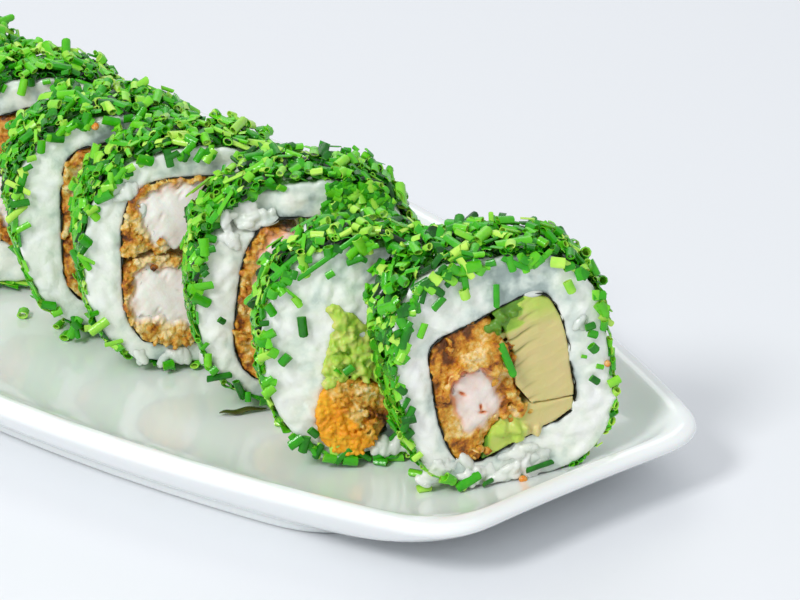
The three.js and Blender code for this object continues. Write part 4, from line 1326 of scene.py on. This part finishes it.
def spilled_places(number, roll, random, count, low, high, deepest):
    """Lengths that lie over the edge of the cut face, between two angles in degrees."""
    places = []
    for _ in range(count):
        turn = math.radians(random.uniform(low, high))
        radius = radius_of(roll["rice"], turn) - random.uniform(0, 1) ** 1.5 * deepest
        u, v = from_middle(roll["rice"], radius, turn)
        length = min(1.2 + random.gamma(2.0, 0.7), 5)
        across = CHIVE_DIAMETER * random.triangular(0.4, 0.8, 1.1)
        swing = random.uniform(0, np.pi)
        along = np.array([math.cos(swing), math.sin(swing), random.normal(0, 0.25)])
        z = across * 0.3 + random.uniform(-0.1, 0.5) - face_depth(number, u, v)
        size = (length, across, across * random.uniform(0.4, 0.9))
        places.append(lying((u, v, z), along, Vector((0, 0, 1)), random.normal(0, 0.3), size))
    return places


def face_pieces(number, random):
    places = []
    for u0, v0, u1, v1, across in FACE_PIECES.get(number, []):
        u, v = (u0 + u1) / 2, (v0 + v1) / 2
        over_filling = number != END_PIECE and room_inside(ROLLS[number]["nori"], u, v) > 0
        z = across * 0.42 + (1.2 if over_filling else 0.35) - face_depth(number, u, v)
        along = Vector((u1 - u0, v1 - v0, random.normal(0, 0.15)))
        size = (math.hypot(u1 - u0, v1 - v0), across, across * 0.8)
        places.append(lying((u, v, z), along, Vector((0, 0, 1)), 0.2, size))
    return places


def shades_of(random, count, layers=0.6):
    """Mostly mid greens with a few yellow-green pieces; lengths low in the pile are painted darker, for the
    shade deep among them.
    """
    # painted shade: the lower a length lies in the pile, the darker its green
    shades = 0.02 + random.beta(1.1, 1.6, count) * 0.62 + 0.6 * (layers - 0.6)
    return np.where(random.uniform(0, 1, count) < 0.13, random.uniform(0.5, 0.9, count), shades)


def chive_coat(number, roll):
    """The whole coat of one roll as one mesh: round it, spilled over its edge, and on its face."""
    random = np.random.default_rng(200 + number)
    parts = []
    for template, share in ((whole_length, 1 - SPLIT_SHARE), (split_length, SPLIT_SHARE)):
        places, layers = chive_places(roll, random, round(CHIVES_ON_A_ROLL * roll["reach"] / 16 * share))
        parts.append(scatter("lengths", template, places, shades_of(random, len(places), layers)))
    for count, low, high, deepest in SPILLS[number]:
        places = spilled_places(number, roll, random, count, low, high, deepest)
        parts.append(scatter("lengths", whole_length, places, shades_of(random, len(places))))
    places = face_pieces(number, random)
    if places:
        parts.append(scatter("lengths", whole_length, places, shades_of(random, len(places))))
    piece = join(parts, f"chives_{number}")
    piece.data.transform(standing(roll))
    return settle(piece, CHIVE_GAP, cad_high[2] - 0.05 * MM)


coats = [chive_coat(number, roll) for number, roll in ROLLS.items()]
print("coats of chives:", len(coats))

# %% [markdown]
# **Fresh chives** have a smooth, slightly waxy skin that gives small sharp glints, and their inside is
# paler than their outside. A ramp runs from deep to yellow green. Each length has its own place on
# it, moved a little by a noise, and the inner wall is moved up it. The same material with an olive
# ramp gives a wilted one.

# %% Chive finish
FRESH = [(0.0, "#052C03"), (0.16, "#13690A"), (0.38, "#34A80E"), (0.64, "#68CE1C"), (1.0, "#C2EE5E")]
WILTED = [(0.0, "#2E3213"), (0.25, "#575D25"), (0.6, "#6C6A2C"), (1.0, "#A09A58")]


def cut_chives(name, stops):
    """Waxy leaf: small sharp glints on a full green."""
    material, tree, shader = new_material(name, Roughness=0.2, IOR=1.45, Subsurface_Weight=0.1,
                                          Subsurface_Scale=0.0007, Specular_IOR_Level=0.5)
    place = node(tree, "ShaderNodeTexCoord").outputs["Object"]
    shade = node(tree, "ShaderNodeAttribute", attribute_name="shade").outputs["Fac"]
    inner = node(tree, "ShaderNodeAttribute", attribute_name="inner").outputs["Fac"]
    patch = node(tree, "ShaderNodeTexNoise", {"Vector": place, "Scale": per_mm(2), "Detail": 2.0})
    tone = node(tree, "ShaderNodeMath", {0: patch.outputs["Fac"], 1: 0.25, 2: shade},
                operation="MULTIPLY_ADD")
    tone = node(tree, "ShaderNodeMath", {0: inner, 1: 0.35, 2: tone.outputs[0]}, operation="MULTIPLY_ADD")
    mix = node(tree, "ShaderNodeValToRGB", {"Fac": tone.outputs[0]}, stops=stops)
    tree.links.new(mix.outputs["Color"], shader.inputs["Base Color"])
    fine = node(tree, "ShaderNodeTexNoise", {"Vector": place, "Scale": per_mm(0.7), "Detail": 2.0})
    bump = node(tree, "ShaderNodeBump", {"Height": fine.outputs["Fac"], "Strength": 0.35,
                                         "Distance": 0.0003})
    tree.links.new(bump.outputs["Normal"], shader.inputs["Normal"])
    return material


chive_finish = cut_chives("cut_chives", FRESH)
for piece in coats:
    wear(piece, chive_finish, "rice_with_chives", smooth=50)

# %% [markdown]
# A few things have strayed: a handful of cut lengths and a wilted sliver lie on the plate, and there
# are orange fish-roe beads, each under two millimetres, on the rice and the foot of the first roll.

# %% Strays
# on the plate: [x, y, x, y of the other end, width], in the plate's millimetres
PLATE_PIECES = [
    (3.9, -21.4, 5.3, -22.9, 2.4), (12.6, -18.6, 13.6, -20.8, 1.6), (18.2, -21.4, 19.2, -23.2, 2.2),
    (76.6, -16.6, 78.6, -15.2, 1.7), (84.3, -18.4, 85.6, -16.4, 1.9), (110, -11.6, 112.4, -10.4, 1.8),
    (116.6, -15.6, 117.6, -13.2, 1.9), (88.2, -18.6, 90.8, -18.4, 2.0), (102, -13.4, 104.2, -12.2, 1.9),
]
SLIVER = [(66.2, -22.2), (67.4, -19.6), (68.8, -16.8), (70.4, -13.2)]
# [roll, u, v, how far out of the face, diameter]
ROE = [(1, 3.2, 1.6, 1.2, 1.7), (1, 20, 23.1, 0.2, 1.3), (2, 1, 40.7, -0.6, 1.5), (5, -3, 47, 1.0, 1.6)]


def make_plate_pieces():
    random = np.random.default_rng(300)
    places = []
    for x0, y0, x1, y1, across in PLATE_PIECES:
        x, y = (x0 + x1) / 2, (y0 + y1) / 2
        along = Vector((x1 - x0, y1 - y0, 0))
        size = (along.length, across, across * 0.75)
        place = (x, y, float(well_height(x, y)) + across * 0.42)
        places.append(lying(place, along, Vector((0, 0, 1)), 0.1, size))
    piece = scatter("chives_on_plate", whole_length, places, shades_of(random, len(places)))
    piece.data.transform(TO_METRES)
    return piece


def make_sliver():
    """A wilted length: a flattened tube that tapers at both ends."""
    steps = np.linspace(0, len(SLIVER) - 1, 14)
    path = np.column_stack([np.interp(steps, range(len(SLIVER)), [p[k] for p in SLIVER]) for k in (0, 1)])
    rings = []
    for step, (x, y) in enumerate(path):
        half = 0.15 + 0.95 * max(0, math.sin(math.pi * step / (len(path) - 1))) ** 0.7
        turn = np.arange(8) * np.pi / 4
        side = half * np.cos(turn)
        rise = 5.75 + 0.35 * half * np.sin(turn) + 0.25 * math.sin(step * 0.9)
        rings.append(np.column_stack([x + side * 0.92, y - side * 0.38, rise]))
    piece = loft("wilted_sliver", rings)
    modify(piece, "SUBSURF", levels=1, render_levels=1)
    paint(piece, "shade", np.full(len(piece.data.vertices), 0.02))
    piece.data.transform(TO_METRES)
    return piece


def make_roe():
    bead = add(bpy.ops.mesh.primitive_ico_sphere_add, subdivisions=3, radius=0.5)
    places = []
    for number, u, v, out, size in ROE:
        place = standing(ROLLS[number]) @ Vector((u, v, out)) / MM
        places.append(Matrix.Translation(place) @ Matrix.Scale(size, 4))
    piece = scatter("roe_beads", bead, places)
    bpy.data.objects.remove(bead)
    piece.data.transform(TO_METRES)
    return piece


def orange_roe():
    """A bead of clear skin over orange oil, cloudier in patches."""
    material, tree, shader = new_material("orange_roe", Roughness=0.15, IOR=1.38,
                                          Subsurface_Weight=0.5, Subsurface_Scale=0.0008,
                                          Transmission_Weight=0.2)
    place = node(tree, "ShaderNodeTexCoord").outputs["Object"]
    cloud = node(tree, "ShaderNodeTexNoise", {"Vector": place, "Scale": per_mm(0.9), "Detail": 2.0})
    mix = node(tree, "ShaderNodeValToRGB", {"Fac": cloud.outputs["Fac"]},
               stops=[(0.35, "#F58A22"), (0.5, "#FBA648"), (0.65, "#FFCB84")])
    tree.links.new(mix.outputs["Color"], shader.inputs["Base Color"])
    return material


wear(make_plate_pieces(), chive_finish, "rice_with_chives", smooth=50)
wear(make_sliver(), cut_chives("wilted_chive", WILTED), "rice_with_chives")
wear(make_roe(), orange_roe(), "rice_with_chives")
for template in (whole_length, split_length, crumb):
    bpy.data.objects.remove(template)

# %% [markdown]
# The table is a plain pale floor. The light is high-key: a bright even sky, a soft lamp from the upper
# left in front, which gives the rice its form and the glaze its highlights, and a wider and weaker
# one from behind, which lights the tops of the rolls.

# %% Floor and light
SKY_COLOUR = (0.93, 0.96, 1.0, 1)
SKY_STRENGTH = 0.69
LAMPS = [((0.25, -0.85, 0.78), 0.3, 7.2), ((-0.6, 0.5, 0.9), 0.8, 2.4)]  # place, size in m, watts
LAMPS_AIM = Vector((0.06, 0, 0.02))
FLOOR_SIZE = 6


def studio():
    floor = add(bpy.ops.mesh.primitive_plane_add, size=FLOOR_SIZE)
    floor.name = "floor"
    floor.data.materials.append(new_material("pale_table", Base_Color=colour("#E7E9EC"), Roughness=0.5)[0])
    world = bpy.data.worlds.new("studio")
    world.use_nodes = True
    sky = world.node_tree.nodes["Background"]
    sky.inputs["Color"].default_value = SKY_COLOUR
    sky.inputs["Strength"].default_value = SKY_STRENGTH
    bpy.context.scene.world = world
    for place, size, watts in LAMPS:
        lamp = add(bpy.ops.object.light_add, type="AREA", location=place)
        lamp.data.size = size
        lamp.data.energy = watts
        lamp.rotation_euler = (LAMPS_AIM - Vector(place)).to_track_quat("-Z", "Y").to_euler()
    bpy.context.scene.view_settings.view_transform = "Standard"


studio()
print("lamps:", len(LAMPS))

# %% [markdown]
# Last, the frame's box is printed. Nothing may reach past the solids, as they are what it is packed
# and stored by.

# %% Frame box
print("frame:", [round(v / MM, 2) for v in (*cad_low, *cad_high)])
